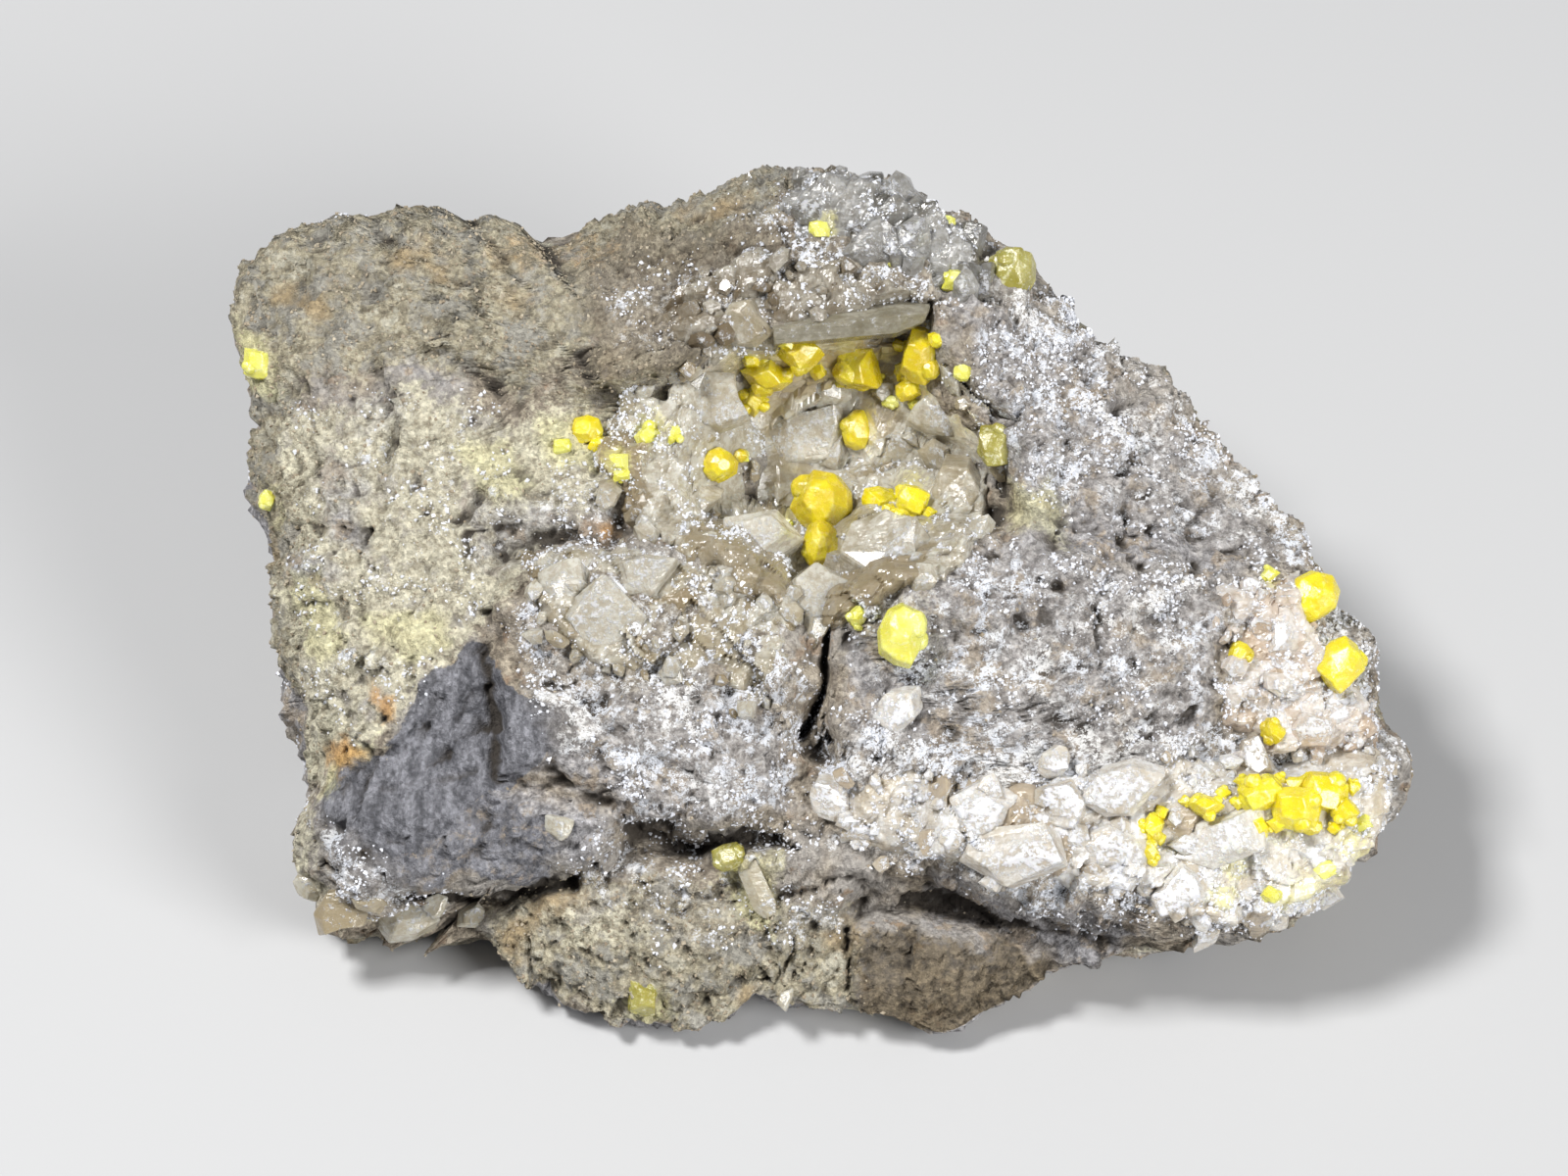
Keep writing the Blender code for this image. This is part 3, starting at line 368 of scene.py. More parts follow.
def face_out(places):
    """How far the show face stands out at each (across, up) place: the smooth maximum of the blocks, that
    is log(sum(exp(B * top))) / B, less the hollows and cracks."""
    flat = np.column_stack([places, np.zeros(len(places))])
    wander = 0
    for size, push, salt in WANDERS:
        wander = wander + np.column_stack([swell(flat, size, salt), swell(flat, size, salt + 1)]) * push
    places = places + wander
    tops = []
    for outline, out, fall_right, fall_up, steepness in BLOCKS.values():
        middle = np.mean(outline, axis=0)
        top = out - (places[:, 0] - middle[0]) * fall_right - (places[:, 1] - middle[1]) * fall_up
        outside = -inside_by(places, outline) / EDGE_ROUND
        tops.append(top - steepness * EDGE_ROUND * np.logaddexp(0, outside))
    tops = np.array(tops)
    highest = tops.max(axis=0)
    out = highest + np.log(np.exp(BLEND * (tops - highest)).sum(axis=0)) / BLEND
    for outline, depth, side in HOLLOWS.values():
        out -= depth * ramp(inside_by(places, outline), -side / 2, side)
    for line, half_width, depth in CRACKS.values():
        out -= depth * np.exp(-((distance_to_line(places, line) / half_width) ** 2))
    return out


print("out at the middle, squares:", round(float(face_out(np.zeros((1, 2)))[0]), 2))

# %% [markdown]
# ## The rim
# The rim is where the face turns under. It follows the outline, but not in one plane: it lies far back along
# the top edge and forward along the foot. The outline has sharp steps, which would shear a mesh whose points
# lie on spokes from the centre. So the spokes take an evened outline, and the real one only near the rim.

# %% The outline's distance and the rim's depth
EVEN_STEPS = np.linspace(-0.24, 0.24, 13)  # radians: the neighbours that the outline is evened over
RIM_DEPTH = (-5.0, -10.0, 2.0)  # squares out: the rim's middle, its rise to the top, its rise to the right


def outline_radius(angle):
    """Distance from the outline's centre to the outline, in the direction of each angle."""
    spokes = np.array(OUTLINE) - OUTLINE_CENTRE
    angles = np.arctan2(spokes[:, 1], spokes[:, 0])
    order = np.argsort(angles)
    return np.interp(angle, angles[order], np.linalg.norm(spokes[order], axis=1), period=2 * math.pi)


def even_radius(angle, sharp):
    """The outline's distance: its own where sharp is 1, the mean over its neighbours where sharp is 0."""
    even = np.mean([outline_radius(angle + step) for step in EVEN_STEPS], axis=0)
    return even + (outline_radius(angle) - even) * sharp


def rim_out(angle):
    """How far out the outline lies: far back along the top edge, forward along the foot."""
    middle, to_top, to_right = RIM_DEPTH
    return middle + to_top * np.sin(angle) + to_right * np.cos(angle)


print("rim, squares out:", np.round(rim_out(np.array([0, 1.57, 3.14, 4.71])), 1))

# %% [markdown]
# ## The hidden sides
# Behind the rim the lump is a plain broken block. A few flat sides, each with a facing and a distance, bound
# it. The nearest one in each direction sets how far the body reaches, and a soft minimum rounds its edges.

# %% The hidden sides
BODY_MIDDLE = (2.0, 0.0, -8.0)  # squares on the grid
BODY_HALVES = (58.0, 44.0, 20.0)  # squares: half sizes of the egg that the body would fit into
SIDE_SOFTNESS = 14  # the higher, the sharper the edges between the hidden sides
# The way each side faces (right, back, up), and its distance from the middle of the body in squares
HIDDEN_SIDES = {
    "base": ((0.0, 0.0, -1.0), 22.6),
    "back": ((0.05, 0.97, 0.20), 36.0),
    "back_left": ((-0.60, 0.78, 0.12), 43.0),
    "back_right": ((0.62, 0.76, 0.12), 36.0),
    "left": ((-0.98, 0.02, -0.12), 55.0),
    "right": ((0.96, -0.20, -0.20), 57.0),
    "back_foot": ((0.10, 0.80, -0.60), 38.0),
    "front_foot": ((0.0, -0.80, -0.60), 43.0),
    "right_foot": ((0.60, -0.55, -0.58), 50.0),
    "left_foot": ((-0.60, -0.55, -0.58), 50.0),
}


def hidden_reach(direction):
    """How far the hidden sides let the body reach in each direction: with c as the cosine to a side's facing
    and d as its distance, the sum of (c / d)**n over the sides, to the power -1 / n."""
    total = np.zeros(len(direction))
    for facing, distance in HIDDEN_SIDES.values():
        normal = to_grid(facing)
        cosine = direction @ (normal / np.linalg.norm(normal))
        total += np.maximum(cosine / distance, 0) ** SIDE_SOFTNESS
    return total ** (-1 / SIDE_SOFTNESS)


print(len(HIDDEN_SIDES), "hidden sides")

# %% [markdown]
# ## One closed skin
# A ball of rings would pinch at its poles. Two square sheets have no pole: each is bent onto a disc, one
# becomes the shown half and one the hidden half, and they are sewn together along the rim.

# %% The two halves
CROWD = 1.5  # how much the shown sheet's points crowd towards the rim
TURN_UNDER = 9  # the higher, the nearer to the rim the face turns under
SHARP_FROM = 0.7  # share of the way to the rim at which the outline's own steps come in
EVEN_TURN, RIM_TURN = 0.35, 0.75  # radians behind the rim: where the steps end, and where the outline does


def disc(side):
    """A square sheet's points bent onto a disc of radius 1, as radius and angle: each square ring of the
    sheet becomes a round one."""
    across, up = side.T
    wide = np.abs(across) >= np.abs(up)
    radius = np.where(wide, np.abs(across), np.abs(up))
    larger, smaller = np.where(wide, across, up), np.where(wide, up, across)
    eighth = math.pi / 4 * smaller / np.where(larger == 0, 1, larger)
    turned = np.where(wide, eighth, math.pi / 2 - eighth) + np.where(larger < 0, math.pi, 0)
    return radius, turned


def front_half(radius, angle):
    """The shown half, from the middle of the face (radius 0) to the rim (radius 1). With s as the share of
    the way, a point stands sqrt(1 - s**9) of the face's height above the rim, so it turns under late."""
    share = 1 - (1 - radius) ** CROWD
    reach = even_radius(angle, ramp(share, SHARP_FROM, 1.0)) * share
    places = np.column_stack([np.cos(angle), np.sin(angle)]) * reach[:, None]
    places += OUTLINE_CENTRE
    rim = rim_out(angle)
    lowest = RIM_PLANE[0] + places @ RIM_PLANE[1:] - DEEPEST * (1 - share)
    out = np.maximum(face_out(places), lowest)
    stand = (1 - share**TURN_UNDER) ** 0.5
    return np.column_stack([places, rim + (out - rim) * stand])


def back_half(radius, angle):
    """The hidden half: from the rim (radius 1) to the middle of the back (radius 0). Its directions turn a
    quarter round, while the outline's reach gives way to the hidden sides' reach."""
    turn = math.pi - radius * math.pi / 2
    direction = np.column_stack([np.sin(turn) * np.cos(angle), np.sin(turn) * np.sin(angle), np.cos(turn)])
    near_rim = 1 - ramp(turn, math.pi / 2, math.pi / 2 + RIM_TURN)
    sharp = 1 - ramp(turn, math.pi / 2, math.pi / 2 + EVEN_TURN)
    reach = near_rim * even_radius(angle, sharp) + (1 - near_rim) * hidden_reach(direction)
    rim_middle = np.column_stack([np.tile(OUTLINE_CENTRE, (len(angle), 1)), rim_out(angle)])
    middle = near_rim[:, None] * rim_middle + (1 - near_rim[:, None]) * np.array(BODY_MIDDLE)
    return middle + direction * reach[:, None]


def outward(points):
    """Each point's direction out of the body, as on the egg that the body would fit into."""
    away = (points - BODY_MIDDLE) / np.square(BODY_HALVES)
    return away / np.linalg.norm(away, axis=1)[:, None]


print("the two halves are ready")

# %% [markdown]
# ## Sewing the sheets
# The hidden sheet has half as many cells a side, as nobody looks closely at it. So along the rim each of its
# edges meets two of the shown sheet's, and three triangles fill the gap between them.

# %% Sew them at the rim
SKIN_CELLS = 280  # cells along a side of the shown sheet
RIM_GAP = 1.6  # cells between the two sheets' edges, which the seam fills


def sheet_faces(count, first):
    """Triangles of a square sheet of count by count points, numbered from first."""
    number = first + np.arange(count * count).reshape(count, count)
    near, right, above = number[:-1, :-1].ravel(), number[1:, :-1].ravel(), number[:-1, 1:].ravel()
    far = number[1:, 1:].ravel()
    return np.concatenate([np.column_stack([near, right, far]), np.column_stack([near, far, above])])


def rim_numbers(count, first):
    """The numbers of a square sheet's edge points, going once round."""
    number = first + np.arange(count * count).reshape(count, count)
    return np.concatenate([number[:-1, 0], number[-1, :-1], number[:0:-1, -1], number[0, :0:-1]])


def square_sheet(side):
    """Every pair of two places along a side: the points of a square sheet."""
    return np.stack(np.meshgrid(side, side, indexing="ij"), axis=-1).reshape(-1, 2)


def body_grid(cells):
    """The closed body: a sheet for the shown half and one half as close for the hidden half, sewn at the
    rim."""
    front_count, back_count = cells + 1, cells // 2 + 1
    front_sheet = square_sheet(np.linspace(-1, 1, front_count))
    back_sheet = square_sheet(np.linspace(-1, 1, back_count) * (1 - RIM_GAP / cells))
    points = np.concatenate([front_half(*disc(front_sheet)), back_half(*disc(back_sheet))])
    near = rim_numbers(front_count, 0)
    far = rim_numbers(back_count, front_count**2)
    start, middle, end = near[0::2], near[1::2], np.roll(near[0::2], -1)
    behind, behind_end = far, np.roll(far, -1)
    seam = [[start, behind, middle], [middle, behind, behind_end], [middle, behind_end, end]]
    faces = [sheet_faces(front_count, 0), sheet_faces(back_count, front_count**2)[:, ::-1]]
    faces += [np.column_stack(strip) for strip in seam]
    return points, np.concatenate(faces)


skin, skin_faces = body_grid(SKIN_CELLS)
print(len(skin), "points,", len(skin_faces), "triangles")

# %% [markdown]
# ## Zones
# One lump carries many surfaces: sandy crust, cream marl, grey broken rock, white frost. Each zone is a list
# of outlines. Its weight fades over a wandering border, and it drives both the relief here and the colour
# later. Behind the rim swells alone decide what grows where.

# %% The zones' outlines
# Each zone: how soft its border is in squares, then its outlines, each with a strength from 0 to 1
# Not every outline is stone colour: a few grey patches are painted shadows.
ZONES = {
    "sandy": (2.5, [
        (1.0, [(-58, 21), (-58, 36), (-50, 40), (-36, 42), (-25, 40), (-12, 44), (-2, 46), (2, 42),
               (-2, 37), (-11, 35), (-18, 29), (-26, 20), (-30, 22), (-38, 23), (-50, 22)]),
        (1.0, [(-57, 22), (-50, 22), (-48, 6), (-51, -14), (-56, -8)]),
        (1.0, [(-30, -35), (-24, -29.5), (-4, -29.5), (6, -31), (7, -35), (6, -44), (-10, -46),
               (-27, -42)]),
        (0.6, [(-24, 20), (-18, 29), (-10, 33), (-4, 26), (-12, 18), (-20, 15)]),
    ]),
    # The golden lump's tone is darker than its golden-brown stone: partly painted shade, for the shade under
    # the shelf above it.
    "golden": (2.0, [
        (1.0, [(6, -34.5), (14, -35.5), (27, -37), (27, -41), (15, -46), (6, -44)]),
        (0.5, [(-54, 30), (-46, 34), (-40, 32), (-46, 28)]),
    ]),
    "cream": (4.0, [
        (1.0, [(-52, 18), (-36, 21), (-28, 17), (-20, 19), (-16, 12), (-24, 5), (-27, 0), (-32, -6),
               (-42, -15), (-49, -22), (-51, 0)]),
        (0.7, [(-22, 20), (-10, 20), (-8, 12), (-20, 10)]),
        (0.6, [(-26, -31), (-14, -30), (-12, -36), (-24, -38)]),
        (0.8, [(-53, -20), (-48, -20), (-46, -34), (-52, -32)]),
    ]),
    # The dark break is grey striated stone, darkened partly as painted shade for a face turned down from the
    # light. The weaker second outline darkens the lower left block.
    "dark": (1.0, [
        (1.0, [(-31.5, -5.5), (-29.5, -9), (-22, -10), (-20, -14), (-26, -19), (-36, -26), (-46, -26),
               (-45.5, -20), (-40, -14.5), (-35.5, -9)]),
        (0.57, [(-46, -22), (-30, -19), (-20, -24), (-24, -30), (-44, -30)]),
    ]),
    "grey": (3.0, [
        (1.0, [(5, -6), (16, 3), (26, 5), (44, 1), (44, -19), (20, -19), (8, -19)]),
        (0.9, [(16, 30), (27, 29), (54, 2), (44, 0), (26, 4)]),
        (1.0, [(-48, -21), (-28, -18), (-16, -23), (-20, -28), (-47, -30)]),
        (1.0, [(-24, -9), (-2, -9), (2, -22), (-14, -24), (-26, -17)]),
        (1.0, [(14, -28), (36, -33), (36, -39), (14, -35)]),
        # Painted shadows: the next two grey patches stand for soft shade on the left face.
        (0.9, [(-47, 13), (-42, 13), (-41.4, 4), (-46, 3)]),
        (0.9, [(-51, 4), (-44, 3), (-43, -1), (-49, -1)]),
        # Painted shadow: the next grey patch stands for the shade under the upper block's lower edge.
        (0.8, [(-42, 23), (-35.6, 24), (-30, 20.6), (-34, 20)]),
        (0.6, [(-46, 22), (-38, 22), (-36, 13), (-44, 13)]),
        (0.7, [(-34, 10), (-22, 10), (-20, 3), (-32, 2)]),
    ]),
    "frost": (2.5, [
        (0.84, [(-24, 1), (-4, 5), (2, 0), (3, -14), (0, -23), (-14, -23), (-24, -15), (-27, -4)]),
        (0.6, [(-22, 13), (-12, 9), (0, 2), (-4, -2), (-20, 1), (-26, 7)]),
        (0.75, [(17, 30), (25, 31), (40, 21), (54, 6), (52, 0), (44, 3), (30, 6), (22, 16)]),
        (1.0, [(6, -12), (14, -14), (28, -15), (48, -15), (63, -16), (62, -24), (50, -35), (30, -33),
               (14, -28), (2, -22)]),
        (0.6, [(-6, 38), (6, 42), (16, 40), (27, 30), (16, 27), (3, 31)]),
        (0.8, [(-50, -23), (-46, -32), (-34, -32), (-38, -29), (-46, -23)]),
        (1.0, [(44, 0), (56, 1), (63, -15), (48, -16), (45, -8)]),
        (0.65, [(-20, 30), (-8, 34), (6, 33), (14, 29), (0, 26), (-16, 22)]),
        (0.75, [(6, -2), (20, 4), (44, 2), (44, -16), (20, -16), (8, -10)]),
        (0.35, [(-50, 20), (-30, 20), (-24, 4), (-32, -5), (-44, -16), (-49, -10)]),
        (0.5, [(-20, -24), (6, -24), (6, -34), (-10, -36), (-22, -32)]),
        (1.0, [(19, 31), (26, 31), (33, 26), (28, 22), (21, 26)]),
        (0.9, [(46, 12), (53, 6), (54, 0), (48, 2)]),
    ]),
    "yellow": (2.0, [
        (0.8, [(-33, 15), (-27, 15), (-24, 10), (-27, 7), (-32, 9)]),
        (0.8, [(-50, 2), (-45, 2), (-44, -6), (-47, -10), (-50, -6)]),
        (0.8, [(-43, -2), (-35, -1), (-33, -5), (-37, -9), (-42, -7)]),
        (1.0, [(-56, 26), (-52, 26), (-52, 20), (-55, 20)]),
        (0.7, [(-54, 12), (-51.5, 12), (-51.5, 5), (-53.5, 5)]),
        (1.0, [(-24, 18), (-16, 18), (-10, 17), (-10, 13), (-19, 12), (-24, 13)]),
        (0.9, [(36, -24), (46, -20), (60, -22), (60, -28), (50, -33), (40, -30)]),
        (0.8, [(23, 12), (29, 12), (29, 4), (23, 5)]),
        (0.9, [(-45, -16), (-41, -14), (-44, -20), (-48, -24)]),
        (0.5, [(6, -1), (15, 0), (15, -9), (8, -8)]),
        (0.9, [(-18, -40), (-12, -39), (-12, -44), (-17, -44)]),
        (0.9, [(-8, -25), (0, -26), (0, -34), (-5, -33)]),
        (0.6, [(-44, -32), (-36, -32), (-36, -37), (-42, -36)]),
    ]),
    "rust": (1.2, [
        (1.0, [(-42, -9.5), (-39.5, -10), (-39.8, -13.6), (-41.4, -13.4)]),
        (1.0, [(-47, -16), (-42.4, -15.6), (-43.2, -18.4), (-46.6, -18)]),
        (1.0, [(-18.5, 7.4), (-15.6, 7.2), (-15.6, 5.2), (-18, 5)]),
        (0.46, [(-29, 36), (-22, 38), (-16, 35), (-18, 31), (-27, 31)]),
    ]),
    "brown": (3.0, [
        (0.9, [(-18, 37), (2, 39), (14, 32), (14, 26), (-2, 25), (-14, 18), (-22, 21), (-22, 28)]),
        (0.3, [(44, 0), (54, 0), (61, -12), (62, -19), (46, -19), (43, -8)]),
        (0.9, [(-22, 2), (-2, 2), (1, -10), (-8, -16), (-20, -10)]),
        (0.6, [(18, 28), (26, 28), (44, 14), (50, 4), (40, 4), (26, 12)]),
        (0.6, [(8, -6), (20, 0), (34, -2), (30, -10), (16, -12)]),
    ]),
}
print(len(ZONES), "zones,", sum(len(outlines) for _, outlines in ZONES.values()), "outlines")

# %% [markdown]
# ## How strong each zone is
# A drawn border would look cut out. Four layers of swells push each place about before it is measured, so
# the border wanders and breaks up, and a ramp then fades the zone across it.

# %% The zones' weights
BORDER_WANDER = 1.7  # squares: how far the swells push a zone's border


def zone_weights(points, hidden):
    """Each zone's weight from 0 to 1 at each point: a ramp across its pushed borders. Where two outlines of
    a zone overlap, the stronger counts. Hidden points take theirs from swells."""
    wander = np.column_stack([layers(points, 5.0, 61, 4), layers(points, 5.0, 71, 4)]) * BORDER_WANDER
    places = points[:, :2] + wander
    weights = {}
    for name, (softness, outlines) in ZONES.items():
        inside = [strength * ramp(inside_by(places, outline), -softness, softness)
                  for strength, outline in outlines]
        weights[name] = np.max(inside, axis=0) * ~hidden
    grown_over = layers(points + 40, 16.0, 81, 4)
    behind = {
        "sandy": ramp(grown_over, -0.2, 0.6),
        "grey": ramp(-grown_over, 0.1, 0.8),
        "cream": 0.6 * ramp(layers(points, 9.0, 91, 3), 0.0, 0.7),
        "frost": 0.7 * ramp(layers(points, 12.0, 95, 3), 0.2, 0.9),
    }
    for name, weight in behind.items():
        weights[name] = np.where(hidden, weight, weights[name])
    return weights


hidden_side = np.arange(len(skin)) >= (SKIN_CELLS + 1) ** 2
zones = zone_weights(skin, hidden_side)
print({name: round(float(weight.mean()), 3) for name, weight in zones.items()})

# %% [markdown]
# ## Relief
# The breaks are broad swells, then facets, then grain. Which grain depends on the zone: sand is a fine
# pebbling, the dark break is combed in one direction, and the frosted parts are heaped with tiny blocks.

# %% Relief by zone
# Combed relief: the grid is squeezed across the comb's direction and stretched along it
COMB = np.array([[0.80, 0.14, 0.0], [-0.60, 0.19, 0.0], [0.0, 0.0, 0.3]])
MEAN_BLOCK = 0.4  # about the mean height of grown blocks, taken off so that they hardly lift the ground


def broad_relief(points):
    """The breaks that the CAD model has too: a broad swell and two sizes of chip."""
    return 0.9 * swell(points, 11.0, 21) + 1.2 * chips(points, 8.0, 31) + 0.9 * chips(points, 3.6, 41)


def front_weight(points):
    """One on the show face, falling to zero behind it."""
    return ramp(points[:, 2], -16, -10)


def relief(points, zones):
    """How far each point moves out of the body: the CAD breaks, then finer relief weighted by zone. Each
    term is a height in squares times a noise, whose own numbers are its width in squares and its salt."""
    saddle = ramp(inside_by(points[:, :2], BLOCKS["saddle"][0]), -1, 4) * front_weight(points)
    move = broad_relief(points) * (1 - 0.85 * saddle)
    calm = (1 - 0.75 * zones["dark"]) * (1 - 0.6 * saddle)
    move += calm * (0.60 * chips(points, 2.0, 101) + 0.34 * chips(points, 1.1, 111))
    move += 0.42 * layers(points, 2.6, 121, 4) * calm
    pits = layers(points, 3.4, 125, 3)
    move -= 0.55 * ramp(pits, 0.4, 0.9) * calm
    move += zones["sandy"] * (0.26 * cobbles(points, 0.9, 131) + 0.26 * swell(points, 0.7, 141))
    blocky = np.clip(zones["frost"] + 0.6 * zones["brown"], 0, 1)
    large = grown(points, 4.4, 151)[0] - MEAN_BLOCK
    small = grown(points, 1.7, 161)[0] - MEAN_BLOCK
    move += blocky * (1.30 * large + 0.60 * small)
    move += zones["grey"] * (0.5 * large + 0.35 * small)
    move += zones["dark"] * (0.22 * layers(points @ COMB, 1.3, 181, 3))
    return move


skin = skin + outward(skin) * relief(skin, zones)[:, None]
standing = to_body(skin)
standing[:, 2] = np.maximum(standing[:, 2], 0)
print("lump, mm:", np.round(np.ptp(standing, axis=0) * SQUARE * 1000, 1))

# %% [markdown]
# ## Hollows get painted shade
# The limestone is darkened where the ground is lower than what is round it: painted shade, with some
# dirt. Smoothing the sheet many times measures that: where a point is below its smoothed place, there is a
# hollow.

# %% Measure the hollows
SMOOTHINGS = 24


def hollowness(points, faces, rounds):
    """How far each point is below its smoothed neighbourhood, in squares: positive in hollows. Each round
    moves every point halfway to the mean of its neighbours."""
    pairs = np.concatenate([faces[:, [0, 1]], faces[:, [1, 2]], faces[:, [2, 0]]])
    near, far = pairs.T
    count = np.bincount(pairs.ravel(), minlength=len(points))[:, None]
    smooth = points.copy()
    for _ in range(rounds):
        total = [np.bincount(near, way[far], len(points)) + np.bincount(far, way[near], len(points))
                 for way in smooth.T]
        smooth = 0.5 * smooth + 0.5 * np.stack(total, axis=1) / count
    return np.sum((smooth - points) * outward(points), axis=1)


hollow = hollowness(skin, skin_faces, SMOOTHINGS)
print("deepest hollow, squares:", round(float(hollow.max()), 2))

# %% [markdown]
# ## Materials
# Every finish is a small network of nodes. These helpers keep a network readable: each makes one node, joins
# what it is given, and returns its output. Patterns read Object coordinates, which stay with the piece.

# %% Node helpers
MM_IN_METRE = 1000


class Network:
    """A material's nodes. Values given to a helper are numbers, colours or other nodes' outputs."""

    def __init__(self, name):
        self.material = bpy.data.materials.new(name)
        self.material.use_nodes = True
        self.tree = self.material.node_tree
        self.shader = self.tree.nodes["Principled BSDF"]
        self.place = self.tree.nodes.new("ShaderNodeTexCoord").outputs["Object"]

    def feed(self, socket, value):
        """Joins an output to a socket, or sets the socket to a number or a colour."""
        if isinstance(value, bpy.types.NodeSocket):
            self.tree.links.new(value, socket)
        elif isinstance(value, tuple) and len(value) == 3 and socket.type == "RGBA":
            socket.default_value = (*value, 1)
        else:
            socket.default_value = value

    def node(self, kind, given, settings=None):
        """A new node of a kind, with its settings, and what is given to its sockets by name or number."""
        made = self.tree.nodes.new("ShaderNode" + kind)
        for name, value in (settings or {}).items():
            setattr(made, name, value)
        for socket, value in given.items():
            self.feed(made.inputs[socket], value)
        return made

    def noise(self, millimetres, detail=3.0, roughness=0.55, stretch=None):
        """Cloudy noise from 0 to 1 whose largest clouds are so many millimetres wide."""
        place = self.place
        if stretch:
            place = self.node("Mapping", {"Vector": place, "Scale": stretch}).outputs["Vector"]
        return self.node("TexNoise", {"Scale": MM_IN_METRE / millimetres, "Detail": detail,
                                      "Roughness": roughness, "Vector": place}).outputs["Fac"]

    def cells(self, millimetres, output="Distance"):
        """A strewn pattern of cells: the distance to the nearest seed, or the seed's place."""
        given = {"Scale": MM_IN_METRE / millimetres, "Vector": self.place}
        return self.node("TexVoronoi", given, {"feature": "F1"}).outputs[output]

    def grains(self, millimetres):
        """One number for each cell of a strewn pattern, as each sand grain has its own tone."""
        return self.node("TexWhiteNoise", {"Vector": self.cells(millimetres, "Position")}).outputs["Value"]

    def attribute(self, name):
        """A number that the mesh stores for each of its points."""
        return self.node("Attribute", {}, {"attribute_name": name}).outputs["Fac"]

    def plus(self, first, second):
        return self.node("Math", {0: first, 1: second}, {"operation": "ADD"}).outputs[0]

    def minus(self, first, second):
        return self.node("Math", {0: first, 1: second}, {"operation": "SUBTRACT"}).outputs[0]

    def times(self, first, second):
        return self.node("Math", {0: first, 1: second}, {"operation": "MULTIPLY"}).outputs[0]

    def step(self, value, low, high):
        """A soft step from 0 at low to 1 at high."""
        given = {"Value": value, "From Min": low, "From Max": high}
        return self.node("MapRange", given, {"interpolation_type": "SMOOTHSTEP"}).outputs["Result"]

    def mix(self, share, first, second):
        """The first colour where share is 0, the second where it is 1."""
        return self.node("Mix", {0: share, 6: first, 7: second}, {"data_type": "RGBA"}).outputs[2]

    def blend(self, share, first, second):
        """The first number where share is 0, the second where it is 1."""
        return self.node("Mix", {0: share, 2: first, 3: second}).outputs[0]

    def shade(self, colour, value, darkest, lightest):
        """Multiplies a colour by a number that runs between two ends as the value runs from 0 to 1."""
        given = {0: 1.0, 6: colour, 7: self.blend(value, darkest, lightest)}
        return self.node("Mix", given, {"data_type": "RGBA", "blend_type": "MULTIPLY"}).outputs[2]

    def bump(self, height, millimetres, strength=1.0):
        """Bends the surface's facing as if it had a height of so many millimetres."""
        given = {"Height": height, "Distance": millimetres / MM_IN_METRE, "Strength": strength}
        return self.node("Bump", given).outputs["Normal"]

    def set(self, **values):
        """Gives values to the shader's sockets, whose names have _ for a space, and returns the material."""
        for name, value in values.items():
            self.feed(self.shader.inputs[name.replace("_", " ")], value)
        return self.material


print("helpers are ready")

# %% [markdown]
# ## Limestone
# The lump's colour is a stack. Grey-brown marl lies under sandy tan, cream, yellow dust, rust and the combed
# dark break, whose darkness is partly painted shade, and a lace of white frost lies over them all. A few
# grey patches are painted shadows; the hollows, and in part the golden lump, are darkened with painted
# shade. Each layer shows where its zone's weight, roughened by noise, passes a threshold, so the borders
# break up into grains as they do on stone.

# %% The limestone's colours
# Each tone runs from a dark to a light colour
TONES = {
    "marl": ((0.20, 0.165, 0.125), (0.50, 0.43, 0.33)),
    "grey_marl": ((0.22, 0.205, 0.19), (0.54, 0.50, 0.45)),
    "sand": ((0.19, 0.162, 0.11), (0.51, 0.46, 0.33)),
    "grey_sand": ((0.20, 0.19, 0.16), (0.50, 0.475, 0.41)),
    "pale_sand": ((0.36, 0.33, 0.25), (0.60, 0.57, 0.46)),
    "tan_sand": ((0.27, 0.20, 0.11), (0.52, 0.41, 0.25)),
    "brown": ((0.10, 0.075, 0.047), (0.33, 0.285, 0.205)),
    # The golden tone is golden-brown stone, darkened partly as painted shade for the shade under the shelf.
    "golden": ((0.06, 0.045, 0.027), (0.185, 0.14, 0.078)),
    "cream": ((0.35, 0.31, 0.22), (0.70, 0.66, 0.50)),
    "stained_cream": ((0.27, 0.25, 0.22), (0.60, 0.56, 0.47)),
    "grey": ((0.17, 0.165, 0.17), (0.54, 0.53, 0.55)),
    "rosy_grey": ((0.27, 0.215, 0.16), (0.58, 0.50, 0.41)),
    "dark": ((0.095, 0.095, 0.105), (0.30, 0.30, 0.325)),
    "under_frost": ((0.17, 0.14, 0.11), (0.55, 0.505, 0.44)),
    "yellow": ((0.60, 0.54, 0.20), (0.86, 0.83, 0.52)),
    "cold_frost": ((0.76, 0.79, 0.86), (0.90, 0.92, 0.96)),
    "warm_frost": ((0.84, 0.82, 0.79), (0.95, 0.945, 0.93)),
}
EARTH_BROWN, RUST = (0.33, 0.24, 0.165), (0.54, 0.27, 0.06)
# The hollows' colour is painted shade, with some dirt; the specks' colour is dark grains in the stone.
HOLLOW_SHADE_AND_DIRT, SPECK_DIRT = (0.055, 0.045, 0.035), (0.05, 0.042, 0.036)
print(len(TONES), "tones")

# %% [markdown]
# ## The stack of layers
# Five noises of falling size serve every layer: broad patches, patches, fine mottling, grain and dust. One
# layer is a tone, the zone it lies in, the two thresholds it fades between, and how strongly it covers.

